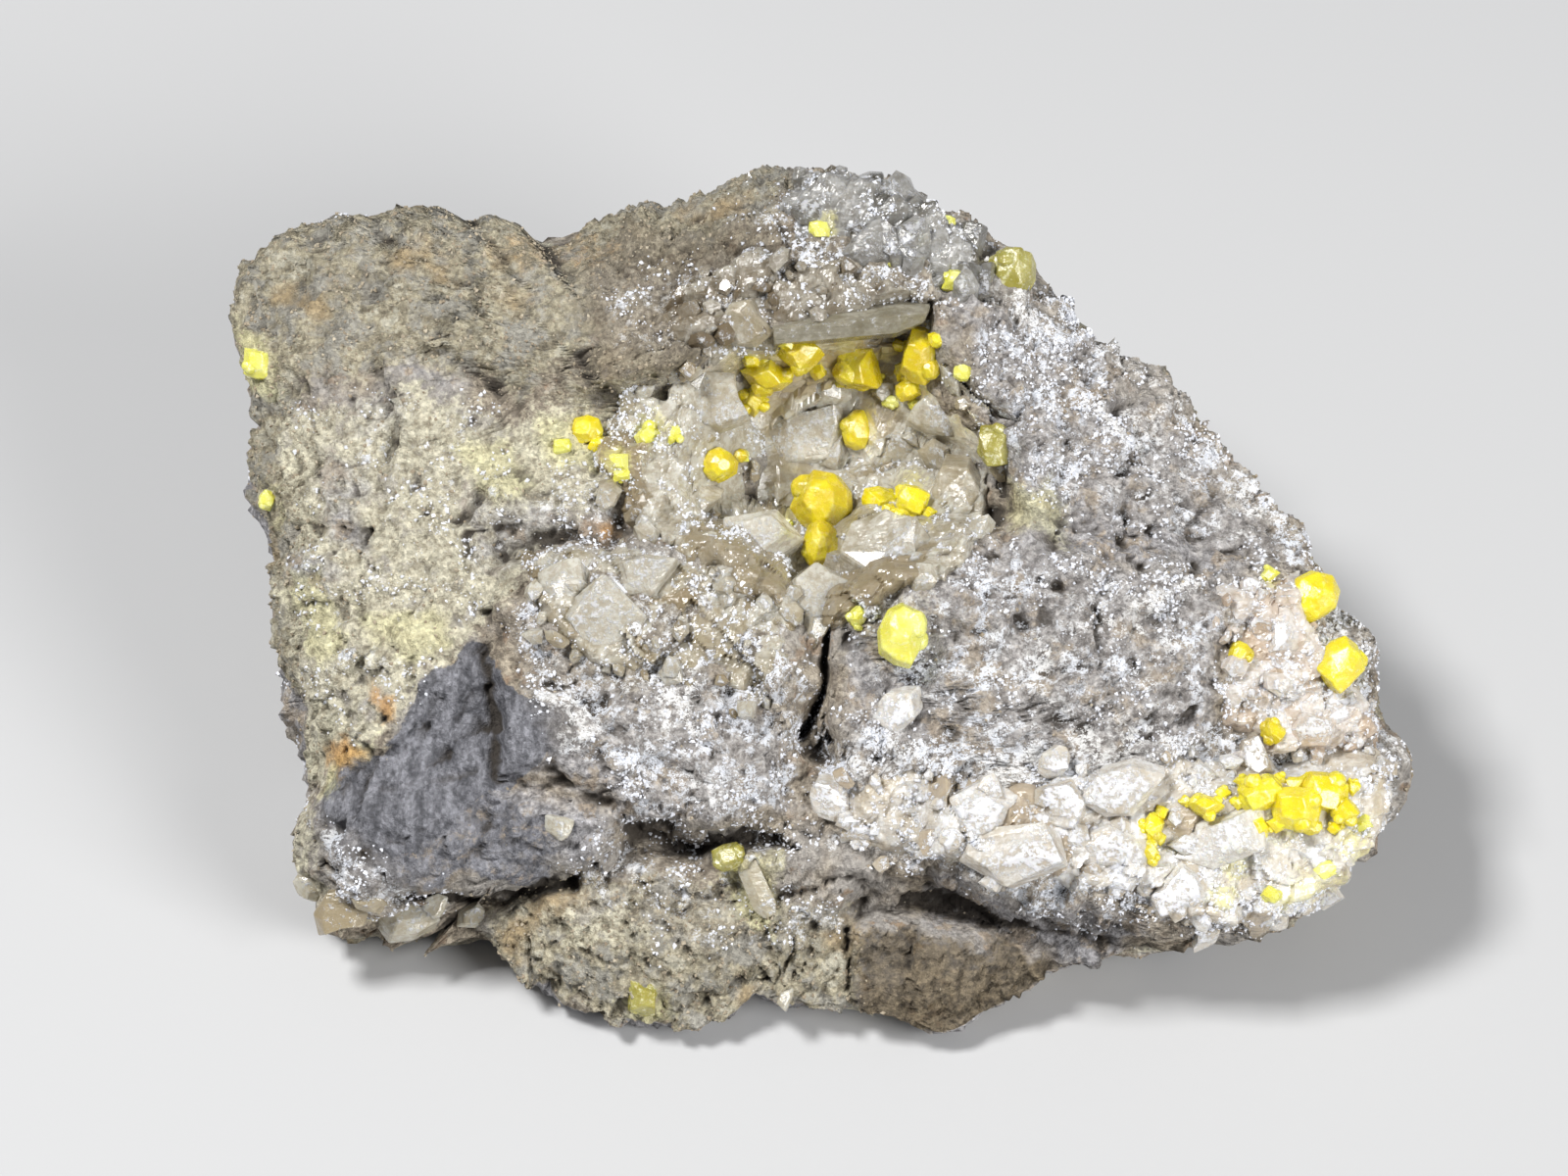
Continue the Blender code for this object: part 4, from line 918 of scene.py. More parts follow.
# %% The limestone finish
def limestone():
    """Layers mixed one over another, from the bare marl up to the frost."""
    n = Network("frosted marly limestone")
    broad, patch = n.noise(7.0, 4), n.noise(2.6, 5, 0.65)
    fine, grain, dust = n.noise(0.8, 5, 0.72), n.noise(0.30, 3, 0.7), n.noise(0.16, 2, 0.7)
    combed = n.noise(0.9, 5, 0.7, (1.0, 0.26, 1.0))
    speck, pebble = n.cells(0.42), n.cells(0.9)

    def tone(name, texture=fine, low=None, high=None):
        """A tone's dark and light colour mixed by a texture, between two thresholds if they are given."""
        return n.mix(texture if low is None else n.step(texture, low, high), *TONES[name])

    def shown(zone, low, high, texture=fine, reach=1.3):
        """Where a zone shows: its weight pushed up and down by a texture, then stepped."""
        pushed = n.times(n.minus(texture, 0.5), reach)
        return n.step(n.plus(n.attribute(zone), pushed), low, high)

    base = tone("marl", fine, 0.34, 0.66)
    base = n.mix(n.step(broad, 0.42, 0.60), base, tone("grey_marl"))
    base = n.mix(n.step(patch, 0.56, 0.66), base, EARTH_BROWN)
    sandy = tone("sand", fine, 0.30, 0.68)
    sandy = n.mix(n.step(patch, 0.45, 0.60), sandy, tone("grey_sand"))
    sandy = n.mix(n.step(patch, 0.44, 0.36), sandy, tone("pale_sand"))
    sandy = n.mix(n.step(broad, 0.56, 0.68), sandy, tone("tan_sand"))
    base = n.mix(shown("sandy", 0.2, 0.7), base, sandy)
    base = n.mix(n.times(shown("brown", 0.35, 0.9), 0.85), base, tone("brown", fine, 0.3, 0.7))
    # Partly painted shade: the golden tone is darkened for the shade under the shelf.
    base = n.mix(n.times(shown("golden", 0.3, 0.9), 0.8), base, tone("golden", fine, 0.35, 0.65))
    cream = n.mix(n.step(patch, 0.53, 0.66), tone("cream", fine, 0.32, 0.62), tone("stained_cream"))
    base = n.mix(shown("cream", 0.3, 0.75), base, cream)
    # Grey stone; in a few outlines this grey is a painted shadow.
    grey = n.mix(n.step(patch, 0.52, 0.62), tone("grey", fine, 0.32, 0.68), tone("rosy_grey"))
    base = n.mix(n.times(shown("grey", 0.3, 0.9, patch), 0.9), base, grey)
    # Partly painted shade: the dark break's tone is darkened for a face turned down from the light.
    base = n.mix(shown("dark", 0.42, 0.60, fine, 0.9), base, tone("dark", combed, 0.35, 0.68))
    base = n.mix(n.times(n.attribute("frost"), 0.55), base, tone("under_frost", fine, 0.3, 0.7))
    base = n.mix(n.times(shown("yellow", 0.35, 0.95), 0.55), base, tone("yellow"))
    base = n.mix(n.times(shown("rust", 0.30, 1.0), 0.72), base, RUST)
    base = n.shade(base, n.grains(0.28), 0.72, 1.22)
    # Painted shade: the hollows are darkened almost to black, with some dirt.
    base = n.mix(n.times(n.step(n.attribute("hollow"), 0.05, 1.0), 0.95), base, HOLLOW_SHADE_AND_DIRT)
    base = n.mix(n.times(n.step(speck, 0.14, 0.05), 0.5), base, SPECK_DIRT)

    # Frost: a lace of fine and dusty noise, cut to the zone's weight after broad noise has torn that up
    spread = n.times(n.minus(n.noise(2.2, 5, 0.65), 0.5), 3.2)
    spread = n.step(n.plus(n.attribute("frost"), spread), 0.38, 1.15)
    lace = n.plus(n.times(n.noise(0.7, 4, 0.7), 0.7), n.times(dust, 0.4))
    frost = n.times(n.step(n.plus(lace, n.times(spread, 0.10)), 0.60, 0.66), spread)
    frost = n.times(frost, n.step(n.attribute("frost"), 0.05, 0.3))
    icing = n.mix(n.step(broad, 0.48, 0.62), tone("cold_frost", dust), tone("warm_frost", dust))
    base = n.mix(n.times(frost, 0.95), base, icing)

    height = n.plus(n.plus(n.times(grain, 0.6), n.times(fine, 1.0)), n.times(pebble, 0.5))
    return n.set(Base_Color=base, Roughness=n.blend(frost, 0.85, 0.5), Specular_IOR_Level=0.35,
                 Normal=n.bump(height, 0.55))


limestone_finish = limestone()
print("limestone:", len(limestone_finish.node_tree.nodes), "nodes")

# %% [markdown]
# ## The lump as a piece
# A piece is a mesh object at the origin, with its place in its points. It rides on the specimen's body,
# stands in for the solids that it replaces, and keeps the zones' weights for its finish to read.

# %% Make the lump
def piece(name, points, faces, finish, replaced=(), smooth=False):
    """A mesh object at the origin, from points in metres, riding on the specimen."""
    mesh = bpy.data.meshes.new(name)
    faces = np.asarray(faces)
    mesh.vertices.add(len(points))
    mesh.vertices.foreach_set("co", np.asarray(points, np.float32).ravel())
    mesh.loops.add(faces.size)
    mesh.loops.foreach_set("vertex_index", faces.ravel())
    mesh.polygons.add(len(faces))
    mesh.polygons.foreach_set("loop_start", np.arange(0, faces.size, faces.shape[1]))
    mesh.update(calc_edges=True)
    mesh.validate()
    mesh.polygons.foreach_set("use_smooth", np.full(len(faces), smooth))
    mesh.materials.append(finish)
    made = bpy.data.objects.new(name, mesh)
    bpy.context.scene.collection.objects.link(made)
    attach(made, "root")
    if replaced:
        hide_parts(*replaced)
    return made


def give(made, name, values):
    """Stores one number for each point, which a material reads by its name."""
    layer = made.data.attributes.new(name, "FLOAT", "POINT")
    layer.data.foreach_set("value", np.asarray(values, np.float32))


lump = piece("limestone_lump", standing * SQUARE, skin_faces, limestone_finish,
             replaced=["matrix_rock"], smooth=True)
for zone, weight in zones.items():
    give(lump, zone, weight)
give(lump, "hollow", hollow)
print("limestone_lump:", len(lump.data.polygons), "triangles")

# %% [markdown]
# ## Crystals by rings
# A crystal is a section carried along its axis. The section has a few corners, and each ring along the axis
# has a height and a size. With few corners and few rings the faces stay flat, as a crystal's are.

# %% Carry a section along an axis
def carried(section, rings):
    """A section's corners at each ring: the section times a size plus a shift, at a height, tilted by a
    slope. The ends close on a point."""
    section = np.array(section, float)
    rows = []
    for height, size, shift, slope in rings:
        tilt = section @ np.array(slope, float)
        rows.append(np.column_stack([section * size + shift, height + size * tilt]))
    corners = np.concatenate([*rows, rows[0].mean(axis=0)[None], rows[-1].mean(axis=0)[None]])
    count, step = len(section), np.arange(len(section))
    following = (step + 1) % count
    faces = []
    for row in range(len(rows) - 1):
        near, far = row * count, (row + 1) * count
        faces += [np.column_stack([near + step, near + following, far + following]),
                  np.column_stack([near + step, far + following, far + step])]
    foot, top = len(corners) - 2, len(corners) - 1
    last = (len(rows) - 1) * count
    faces.append(np.column_stack([np.full(count, foot), following, step]))
    faces.append(np.column_stack([np.full(count, top), last + step, last + following]))
    return corners, np.concatenate(faces)


def ring_section(corners, turn=0.0, squash=1.0):
    """Corners evenly round an oval: at angle a, the point (cos a, squash * sin a)."""
    angle = np.arange(corners) / corners * 2 * math.pi + turn
    return np.column_stack([np.cos(angle), np.sin(angle) * squash])


hexagon = carried(ring_section(6), [(0, 1, 0, (0, 0)), (1, 1, 0, (0, 0))])
print("a carried hexagon:", len(hexagon[1]), "triangles")

# %% [markdown]
# ## Kinds of crystal
# No two crystals are alike, but a few kinds of each, turned and stretched, look like hundreds. Calcite is a
# broken block or a slim prism. Sulfur is a double pyramid with cut corners, or a rounder crystal with many
# small faces. Every kind comes from a random draw that starts from a fixed number, so it's always the same.

# %% The kinds
# Rings are (height, size, shift, slope), from foot to tip
CALCITE_CORNERS = (5, 6, 7, 5, 6, 7)
ROUND_RINGS = [(-1.0, 0.34, 1.0), (-0.72, 0.72, 0.6), (-0.2, 0.98, 0.3), (0.3, 0.97, 0.3), (0.72, 0.66, 0.6),
               (0.95, 0.34, 1.0)]  # height, size, and share of the ring's slope
STRAIGHT, LEVEL = (0, 0), (0, 0)  # a ring with no shift, and one with no slope


def uneven(chance, section, amount):
    """A section whose corners are each moved in or out by a random share of their distance."""
    return section * (1 + amount * chance.standard_normal((len(section), 1)))


def calcite_kinds(count=16):
    """Broken blocks: an uneven section of five to seven corners, a wide waist, and ends cut at a lean."""
    chance, kinds = np.random.default_rng(3), []
    for kind in range(count):
        corners = CALCITE_CORNERS[kind % len(CALCITE_CORNERS)]
        section = uneven(chance, ring_section(corners, 0.3 * kind), 0.18)
        lean = chance.uniform(-0.25, 0.25, 2)
        slopes = chance.uniform(-0.45, 0.45, (4, 2))
        kinds.append(carried(section, [
            (-1.0, 0.55, -lean, slopes[0]), (-0.6, 0.92, -0.6 * lean, 0.5 * slopes[1]),
            (0.42, 1.0, 0.5 * lean, 0.6 * slopes[2]), (0.88, 0.60, lean, slopes[3])]))
    return kinds


def prism_kinds(count=6):
    """Slim prisms: six corners, sides that barely taper, and a low point cut at a lean."""
    chance, kinds = np.random.default_rng(4), []
    for kind in range(count):
        section = uneven(chance, ring_section(6, 0.2 * kind), 0.12)
        slope = chance.uniform(-0.5, 0.5, 2)
        kinds.append(carried(section, [
            (-1.0, 0.9, STRAIGHT, LEVEL), (0.55, 1.0, STRAIGHT, 0.3 * slope),
            (0.9, 0.55, 0.2 * slope, slope)]))
    return kinds


def sulfur_kinds(count=8):
    """Cut double pyramids: eight corners, every second one cut back, wide shoulders, blunt leaning tips."""
    chance, kinds = np.random.default_rng(5), []
    for kind in range(count):
        cut = np.where(np.arange(8) % 2 == 0, 1.0, 0.72 + 0.06 * (kind % 4))[:, None]
        section = uneven(chance, ring_section(8, 0.2 * kind, 0.84) * cut, 0.07)
        slopes = chance.uniform(-0.35, 0.35, (4, 2))
        kinds.append(carried(section, [
            (-1.0, 0.42, STRAIGHT, slopes[0]), (-0.42, 0.97, STRAIGHT, 0.3 * slopes[1]),
            (0.24, 1.0, STRAIGHT, 0.3 * slopes[2]), (0.84, 0.50, 0.2 * slopes[3], slopes[3])]))
    return kinds


def round_sulfur_kinds(count=5):
    """Rounder crystals: nine uneven corners and six rings, so that small facets show all over."""
    chance, kinds = np.random.default_rng(6), []
    for kind in range(count):
        section = uneven(chance, ring_section(9, 0.2 * kind, 0.9), 0.06)
        slopes = chance.uniform(-0.3, 0.3, (len(ROUND_RINGS), 2))
        kinds.append(carried(section, [
            (height, size, STRAIGHT, share * slope)
            for (height, size, share), slope in zip(ROUND_RINGS, slopes)]))
    return kinds


calcite_shapes, prism_shapes = calcite_kinds(), prism_kinds()
sulfur_shapes, round_sulfur_shapes = sulfur_kinds(), round_sulfur_kinds()
print(len(calcite_shapes), "calcite shapes,", len(sulfur_shapes), "sulfur shapes")

# %% [markdown]
# ## Standing crystals on the ground
# Each crystal needs the ground under it: how far out it is, and which way it faces. A ray sent down onto the
# lump finds both. The crystal is then turned, stretched to its measures and set with its foot sunk in.

# %% The ground
ground = BVHTree.FromPolygons(skin.tolist(), skin_faces.tolist())
ABOVE_ALL = 99  # squares out: a height over everything, from where rays are sent down
INWARDS = Vector((0, 0, -1))


def ground_at(across, up):
    """The lump's surface at a place on the face: how far out it is, and its facing."""
    place, facing = ground.ray_cast(Vector((across, up, ABOVE_ALL)), INWARDS)[:2]
    if place is None:
        place, facing = ground.find_nearest(Vector((across, up, 0)))[:2]
    return place.z, np.array(facing)


def joined(shapes):
    """Many crystals as one mesh: their points one after another, and their faces counted on."""
    points, faces, first = [], [], 0
    for corners, triangles in shapes:
        points.append(corners)
        faces.append(triangles + first)
        first += len(corners)
    return np.concatenate(points), np.concatenate(faces)


def boxed(corners, turn, halves):
    """A crystal turned, then stretched to fill a box of the given half sizes about the middle."""
    rolled = corners @ np.array(Euler(turn).to_matrix()).T
    low, high = rolled.min(axis=0), rolled.max(axis=0)
    return (2 * (rolled - low) / (high - low) - 1) * halves


print("ground at the middle, squares:", round(ground_at(0, 0)[0], 2))

# %% [markdown]
# ## Where the sulfur is
# The calcite near sulfur is dusted yellow, so the sulfur's places come first. The loose crystals are too
# small to be nodes of the CAD model.

# %% The sulfur's places
# Every node's crystals: the node's name without sulfur_, then (across, up, half its width, half its height)
SULFUR = {
    "great_crystal": [(3.8, 8.6, 3.5, 3.8), (3.8, 4.4, 2.1, 2.8)],
    "head_group": [(-1.8, 22.0, 2.9, 2.2), (1.7, 23.9, 2.7, 2.2), (-3.2, 19.2, 1.9, 1.8)],
    "under_prism": [(7.6, 22.8, 2.8, 2.5)],
    "corner_group": [(14.0, 23.8, 2.3, 3.3), (12.8, 20.4, 1.5, 1.4)],
    "oval": [(7.5, 16.3, 1.7, 2.3)],
    "round": [(-6.7, 12.7, 2.2, 1.9), (-4.5, 13.6, 0.9, 0.8)],
    "left_pair": [(-20.2, 16.2, 1.8, 1.6), (-19.0, 14.6, 1.2, 1.2)],
    "pale_pair": [(-13.6, 15.5, 1.9, 1.6), (-11.2, 15.6, 1.2, 1.1)],
    "gap_crystal": [(21.6, 14.6, 1.9, 2.4)],
    "middle_group": [(9.8, 8.9, 2.0, 1.7), (13.2, 8.9, 1.9, 1.9)],
    "lemon": [(11.8, -4.8, 2.6, 3.6)],
    "edge_upper": [(54.0, -1.0, 2.9, 3.0)],
    "edge_lower": [(56.4, -7.8, 2.8, 3.2)],
    "right_grain": [(49.5, -14.5, 1.4, 1.5)],
    "tan_grain": [(46.2, -6.6, 1.4, 1.4)],
    "shelf_band": [(48.0, -20.8, 2.6, 2.2), (51.6, -22.2, 2.8, 2.4), (54.6, -20.6, 2.5, 2.3),
                   (47.6, -24.0, 1.7, 1.4), (56.6, -22.6, 1.6, 1.5)],
    "shelf_left": [(42.4, -22.0, 2.1, 1.4)],
    "shelf_strip": [(37.2, -24.0, 1.2, 1.6), (36.8, -26.6, 1.0, 1.6)],
    "foot": [(-14.4, -41.6, 1.6, 2.0)],
    "left_edge": [(-54.0, 23.0, 1.6, 1.8)],
    "lower_grain": [(-5.6, -27.2, 1.9, 1.7)],
    "top_block": [(23.4, 32.4, 2.8, 2.7)],
}
LOOSE_SULFUR = {
    "small_lemon": [
        (7.4, -3.0, 1.2, 1.4), (49.4, 1.4, 1.2, 1.0), (17.5, 31.4, 1.5, 1.3), (16.7, 37.6, 1.0, 0.8),
        (14.0, 35.8, 0.9, 0.8), (11.0, 33.6, 1.1, 0.9), (3.6, 36.8, 1.2, 1.0), (18.2, 22.0, 1.0, 1.0),
        (-53.0, 9.0, 1.0, 1.2), (-17.0, 12.8, 1.3, 1.0), (-22.6, 14.4, 1.0, 0.9), (-4.4, 13.6, 0.9, 0.8),
        (49.0, -30.8, 1.2, 1.0), (54.6, -28.4, 1.4, 1.1), (58.4, -23.8, 1.3, 1.0), (45.0, -24.6, 1.2, 0.9),
        (11.0, 19.2, 1.1, 0.8), (13.6, 18.8, 1.0, 0.8), (-16.6, 11.4, 1.0, 0.7), (0.2, 6.6, 0.8, 0.7)],
    "small_bright": [
        (46.0, -21.6, 1.3, 1.0), (50.0, -19.4, 1.2, 0.9), (53.0, -24.0, 1.4, 1.0), (49.6, -23.8, 1.3, 1.0),
        (57.2, -20.2, 1.0, 1.2), (44.2, -20.6, 1.0, 0.8), (38.0, -22.6, 0.8, 0.9), (12.4, 9.8, 1.1, 0.9),
        (10.8, 8.0, 0.9, 0.7), (51.8, -20.0, 1.2, 1.1), (55.6, -24.2, 1.0, 0.8), (40.4, -21.4, 0.9, 0.7),
        (46.2, -19.6, 1.0, 0.9), (53.2, -19.4, 1.1, 0.9), (50.2, -21.8, 1.4, 1.2), (46.8, -25.6, 1.0, 0.7),
        (11.6, 7.6, 0.9, 0.7), (14.8, 7.6, 0.9, 0.8), (0.4, 25.2, 1.1, 0.9), (3.4, 22.4, 1.0, 1.2),
        (-3.4, 23.4, 0.9, 0.8), (6.0, 21.4, 1.0, 0.8), (9.6, 21.8, 0.9, 0.8), (12.4, 22.4, 1.1, 1.3),
        (15.6, 25.4, 1.0, 0.9), (11.8, 25.0, 1.0, 0.8), (36.2, -24.0, 0.8, 1.0), (37.8, -25.2, 0.8, 0.9)],
}
sulfur_spots = np.array([spot for table in (SULFUR, LOOSE_SULFUR) for spots in table.values()
                         for spot in spots])
# Yellow dust: where it lies on the face and how far it reaches
DUST = np.array([
    (-19.6, 14.6, 4.5), (-16.6, 12.4, 4.0), (-13.0, 15.4, 3.6), (50.0, -22.4, 6.0), (56.4, -24.6, 4.6),
    (45.0, -27.6, 3.6), (52.6, -30.0, 5.0), (58.6, -27.0, 4.0), (11.8, -4.8, 4.2), (7.4, -3.4, 2.6),
    (0.6, 5.6, 1.8), (12.0, 8.4, 3.4), (4.6, 37.0, 2.0), (23.4, 32.0, 3.4), (49.4, 1.2, 2.6),
    (36.8, -25.6, 2.2), (44.0, -30.6, 3.4), (50.4, -31.6, 3.0), (55.6, -29.6, 3.0), (39.0, -29.0, 2.4)])
DUSTIEST = 0.8  # how yellow the middle of a dusty spot is
CRYSTAL_RADIUS = 0.8  # of its half size: how far a sulfur crystal keeps other blocks away


def spread_from(places, spots):
    """Distance from each place to each spot's middle, as a table of places by spots."""
    return np.hypot(places[:, None, 0] - spots[:, 0], places[:, None, 1] - spots[:, 1])


def clear_of_sulfur(places):
    """How far places are outside the nearest sulfur crystal, in squares."""
    radius = CRYSTAL_RADIUS * sulfur_spots[:, 2:].mean(axis=1)
    return (spread_from(places, sulfur_spots) - radius).min(axis=1)


def dust_at(points):
    """Yellow dust, from its most at the middle of a dusty spot to none at its reach."""
    return DUSTIEST * (1 - ramp((spread_from(points, DUST) / DUST[:, 2]).min(axis=1), 0, 1))


print(len(sulfur_spots), "sulfur crystals")

# %% [markdown]
# ## Calcite finish
# Calcite here is milky: light goes in, meets clouds and cleavage cracks, and comes out pale. So it is partly
# see-through, partly scatters light under its surface, and has a thin clear coat for the shine of its faces.
# A cloud mottles it. White frost gathers in the joints between blocks, and yellow dust close to sulfur.

# %% The calcite finish
CALCITE_LIGHT = {"IOR": 1.6, "Subsurface_Weight": 0.35, "Subsurface_Radius": (1.0, 0.9, 0.7),
                 "Subsurface_Scale": 0.001, "Coat_Weight": 0.4, "Coat_Roughness": 0.05}
FROST_WHITE, DUST_YELLOW = (0.92, 0.92, 0.94), (0.92, 0.84, 0.34)


def calcite(name, clear, milk, tint, see_through, frost):
    """A clear and a milky colour mottled by a cloud, a deeper tint in some blocks, then frost and dust."""
    n = Network(name)
    cloud, veil = n.noise(1.9, 4, 0.6), n.noise(0.55, 4, 0.68)
    fine = n.noise(0.24, 3, 0.65)
    cleavage = n.noise(1.0, 2, 0.6, (0.25, 1.2, 2.0))
    share = n.plus(n.times(cloud, 0.9), n.times(n.attribute("tint"), 0.40))
    base = n.mix(n.step(share, 0.42, 0.86), clear, milk)
    base = n.mix(n.times(n.step(n.attribute("tint"), 0.38, 0.0), 0.8), base, tint)
    base = n.mix(n.times(n.step(veil, 0.58, 0.40), 0.45), base, tint)
    joint = n.plus(n.times(n.attribute("edge"), 0.30), n.times(veil, 0.62))
    joint = n.plus(joint, n.times(fine, 0.35))
    frosted = n.times(n.step(joint, 0.86 - 0.16 * frost, 0.96 - 0.16 * frost), 0.9)
    base = n.mix(frosted, base, FROST_WHITE)
    loose = n.times(n.minus(veil, 0.5), 1.8)
    dusty = n.step(n.plus(n.attribute("dust"), loose), 0.3, 0.9)
    base = n.mix(n.times(dusty, 0.7), base, DUST_YELLOW)
    height = n.plus(n.plus(n.times(veil, 0.5), n.times(cleavage, 0.9)), n.times(frosted, 0.5))
    return n.set(**CALCITE_LIGHT, Transmission_Weight=see_through, Base_Color=base,
                 Roughness=n.blend(veil, 0.03, 0.26), Normal=n.bump(height, 0.17))


# Each finish: clear colour, milky colour, tint, how see-through it is, and how much frost it has
CALCITES = {
    "milky": ((0.48, 0.42, 0.29), (0.83, 0.80, 0.70), (0.36, 0.28, 0.165), 0.42, 0.7),
    "white": ((0.64, 0.57, 0.45), (0.93, 0.92, 0.89), (0.46, 0.37, 0.26), 0.25, 1.15),
    "grey": ((0.17, 0.165, 0.15), (0.58, 0.57, 0.54), (0.17, 0.145, 0.10), 0.45, 0.9),
    "straw": ((0.54, 0.48, 0.34), (0.78, 0.75, 0.64), (0.42, 0.34, 0.21), 0.38, 0.6),
    "smoky": ((0.28, 0.23, 0.155), (0.60, 0.56, 0.47), (0.22, 0.165, 0.10), 0.45, 0.6),
    "peach": ((0.66, 0.53, 0.41), (0.93, 0.89, 0.84), (0.52, 0.40, 0.29), 0.3, 1.1),
    # Painted shade: the long prism's olive finish is darkened for the shadow of the hollow's roof, over its
    # own beige-olive colour.
    "shaded_olive": ((0.27, 0.245, 0.16), (0.50, 0.47, 0.38), (0.20, 0.17, 0.10), 0.4, 0.4),
}
calcite_finishes = {name: calcite(name + " calcite", *look) for name, look in CALCITES.items()}
print(len(calcite_finishes), "calcite finishes")

# %% [markdown]
# ## Calcite crusts
# In the hollow and along the edges calcite covers the rock with no gap. One sheet over each outline does
# that: its height is the rock's broad relief plus blocks grown into each other. It sinks under the rock at
# its border, and an underside closes it, so light can pass through it as through a solid.

# %% A crust
CRUST_CELL = 0.26  # squares: spacing of a crust's grid
CRUST_FOOT = 1.7  # squares: how far under the ground a crust's underside is
BORDER_SINK = 1.1  # squares: how far a crust's border sinks under the ground
BORDER_RISE = 3.0  # squares in from its border: where a crust reaches its full height
BORDER_CUT = -0.4  # squares in from its border: where a crust ends
BLOCK_FOOT, SMALL_FOOT = 0.1, 0.45  # cells: how much the blocks are lifted, and the small ones lowered
JOINT_WIDTH, SMALL_JOINT_WIDTH = 0.12, 0.15  # how near two blocks are in height where a joint shows


def broad_ground(places):
    """Points of the lump's broad surface under places on the face, and the way out of the body there."""
    points = np.column_stack([places, face_out(places)])
    facing = outward(points)
    return points + facing * broad_relief(points)[:, None], facing


def crust_faces(kept, lower):
    """Triangles of a sheet of squares with its underside, whose points are numbered on from lower. Where a
    kept square has no kept neighbour, a side joins the sheet to the underside."""
    index = np.arange(lower).reshape(kept.shape)
    kept = kept[:-1, :-1] & kept[1:, :-1] & kept[:-1, 1:] & kept[1:, 1:]
    square = np.stack([index[:-1, :-1], index[1:, :-1], index[1:, 1:], index[:-1, 1:]], axis=-1)
    rim = np.pad(kept, 1)
    sides = [(rim[1:-1, :-2], 0, 1), (rim[2:, 1:-1], 1, 2), (rim[1:-1, 2:], 2, 3), (rim[:-2, 1:-1], 3, 0)]
    faces = [square[kept][:, [0, 1, 2]], square[kept][:, [0, 2, 3]],
             square[kept][:, [2, 1, 0]] + lower, square[kept][:, [3, 2, 0]] + lower]
    for beyond, first, last in sides:
        start, end = square[kept & ~beyond][:, [first, last]].T
        faces += [np.column_stack([end, start, start + lower]),
                  np.column_stack([end, start + lower, end + lower])]
    return np.concatenate(faces)


def crust(outline, thick, large, small, salt):
    """A closed sheet over an outline: ground plus thickness times grown blocks, sunk where the border is
    near. Gives its points, its triangles, and its tint, dust and joints at each point."""
    outline = np.array(outline, float)
    low, high = outline.min(axis=0) - 1, outline.max(axis=0) + 1
    across, up = np.arange(low[0], high[0], CRUST_CELL), np.arange(low[1], high[1], CRUST_CELL)
    places = np.stack(np.meshgrid(across, up, indexing="ij"), axis=-1).reshape(-1, 2)
    waved = np.column_stack([places, np.zeros(len(places))])
    within = inside_by(places, outline) + 1.1 * layers(waved, 3.0, salt, 3)
    ground, facing = broad_ground(places)
    big, gap, own = grown(ground, large, salt + 1)
    little, little_gap, _ = grown(ground, small, salt + 12)
    rise = thick * (BLOCK_FOOT + big) + 0.45 * small * (little - SMALL_FOOT)
    rise = rise + 0.08 * swell(ground, 0.7, salt + 20)
    rise = rise * ramp(within, 0, BORDER_RISE) - BORDER_SINK * (1 - ramp(within, 0, 2 * BORDER_SINK))
    points = np.concatenate([ground + facing * rise[:, None], ground - facing * CRUST_FOOT])
    faces = crust_faces((within > BORDER_CUT).reshape(len(across), len(up)), len(places))
    used, faces = np.unique(faces, return_inverse=True)
    joints = np.maximum(1 - gap / JOINT_WIDTH, 0.6 * (1 - little_gap / SMALL_JOINT_WIDTH)).clip(0, 1)
    values = {"tint": own, "dust": dust_at(ground), "edge": joints}
    values = {key: np.tile(numbers, 2)[used] for key, numbers in values.items()}
    return points[used], faces.reshape(-1, 3), values


print("crusts are ready")

# %% [markdown]
# ## The six crusts
# Each crust follows a patch on the rock. Small blocks grow on large ones, so both heights are added up. The
# finish differs too: grey along the top edge, white on the shelf, peach at the right.

# %% Grow the crusts
# Each: finish, thickness, width of its large and of its small blocks in squares, salt, and its outline
CRUSTS = {
    "calcite_hollow_crust": ("milky", 2.0, 7.2, 2.6, 301, [
        (-21, 12), (-20, 19), (-13, 21), (-8, 24), (0, 25), (7, 25.5), (13, 26.5), (19, 21), (22, 16),
        (22.5, 5), (17, -0.4), (10, -2.4), (4, -5), (-4, -2), (-12, 3), (-18, 8)]),
    "calcite_long_prism": ("smoky", 1.1, 4.4, 1.6, 451, [
        (-14, 27), (-12, 32), (-4, 34), (6, 33.6), (13, 31), (14.6, 28), (8, 25.6), (-2, 24.6), (-10, 23)]),
    "calcite_ridge_druse": ("grey", 0.8, 4.8, 1.8, 331, [
        (0, 40.6), (3, 43), (6, 43), (12, 41.6), (17, 38), (21, 34), (20, 30), (16, 30), (12, 33),
        (7, 34.6), (2, 37)]),
    "calcite_shelf_crust": ("white", 1.7, 5.8, 2.0, 361, [
        (12, -17), (20, -18.4), (28, -16.4), (38, -16), (48, -17), (58, -15), (62.6, -19), (61, -25),
        (57, -30), (50, -34.6), (42, -35), (36, -31.6), (22, -30), (8, -27.6), (3, -24), (6, -19)]),
    "calcite_right_crust": ("peach", 1.2, 4.2, 1.5, 391, [
        (44, 1), (53, 1), (58, -7), (61, -14), (58, -18), (46, -18), (43, -8)]),
    "calcite_lump_blocks": ("milky", 1.0, 4.6, 1.6, 421, [
        (-27, 4), (-20, 6), (-12, 5), (-3, 4), (2, -2), (2, -10), (-4, -13), (-12, -10), (-20, -9),
        (-26, -4)]),
}


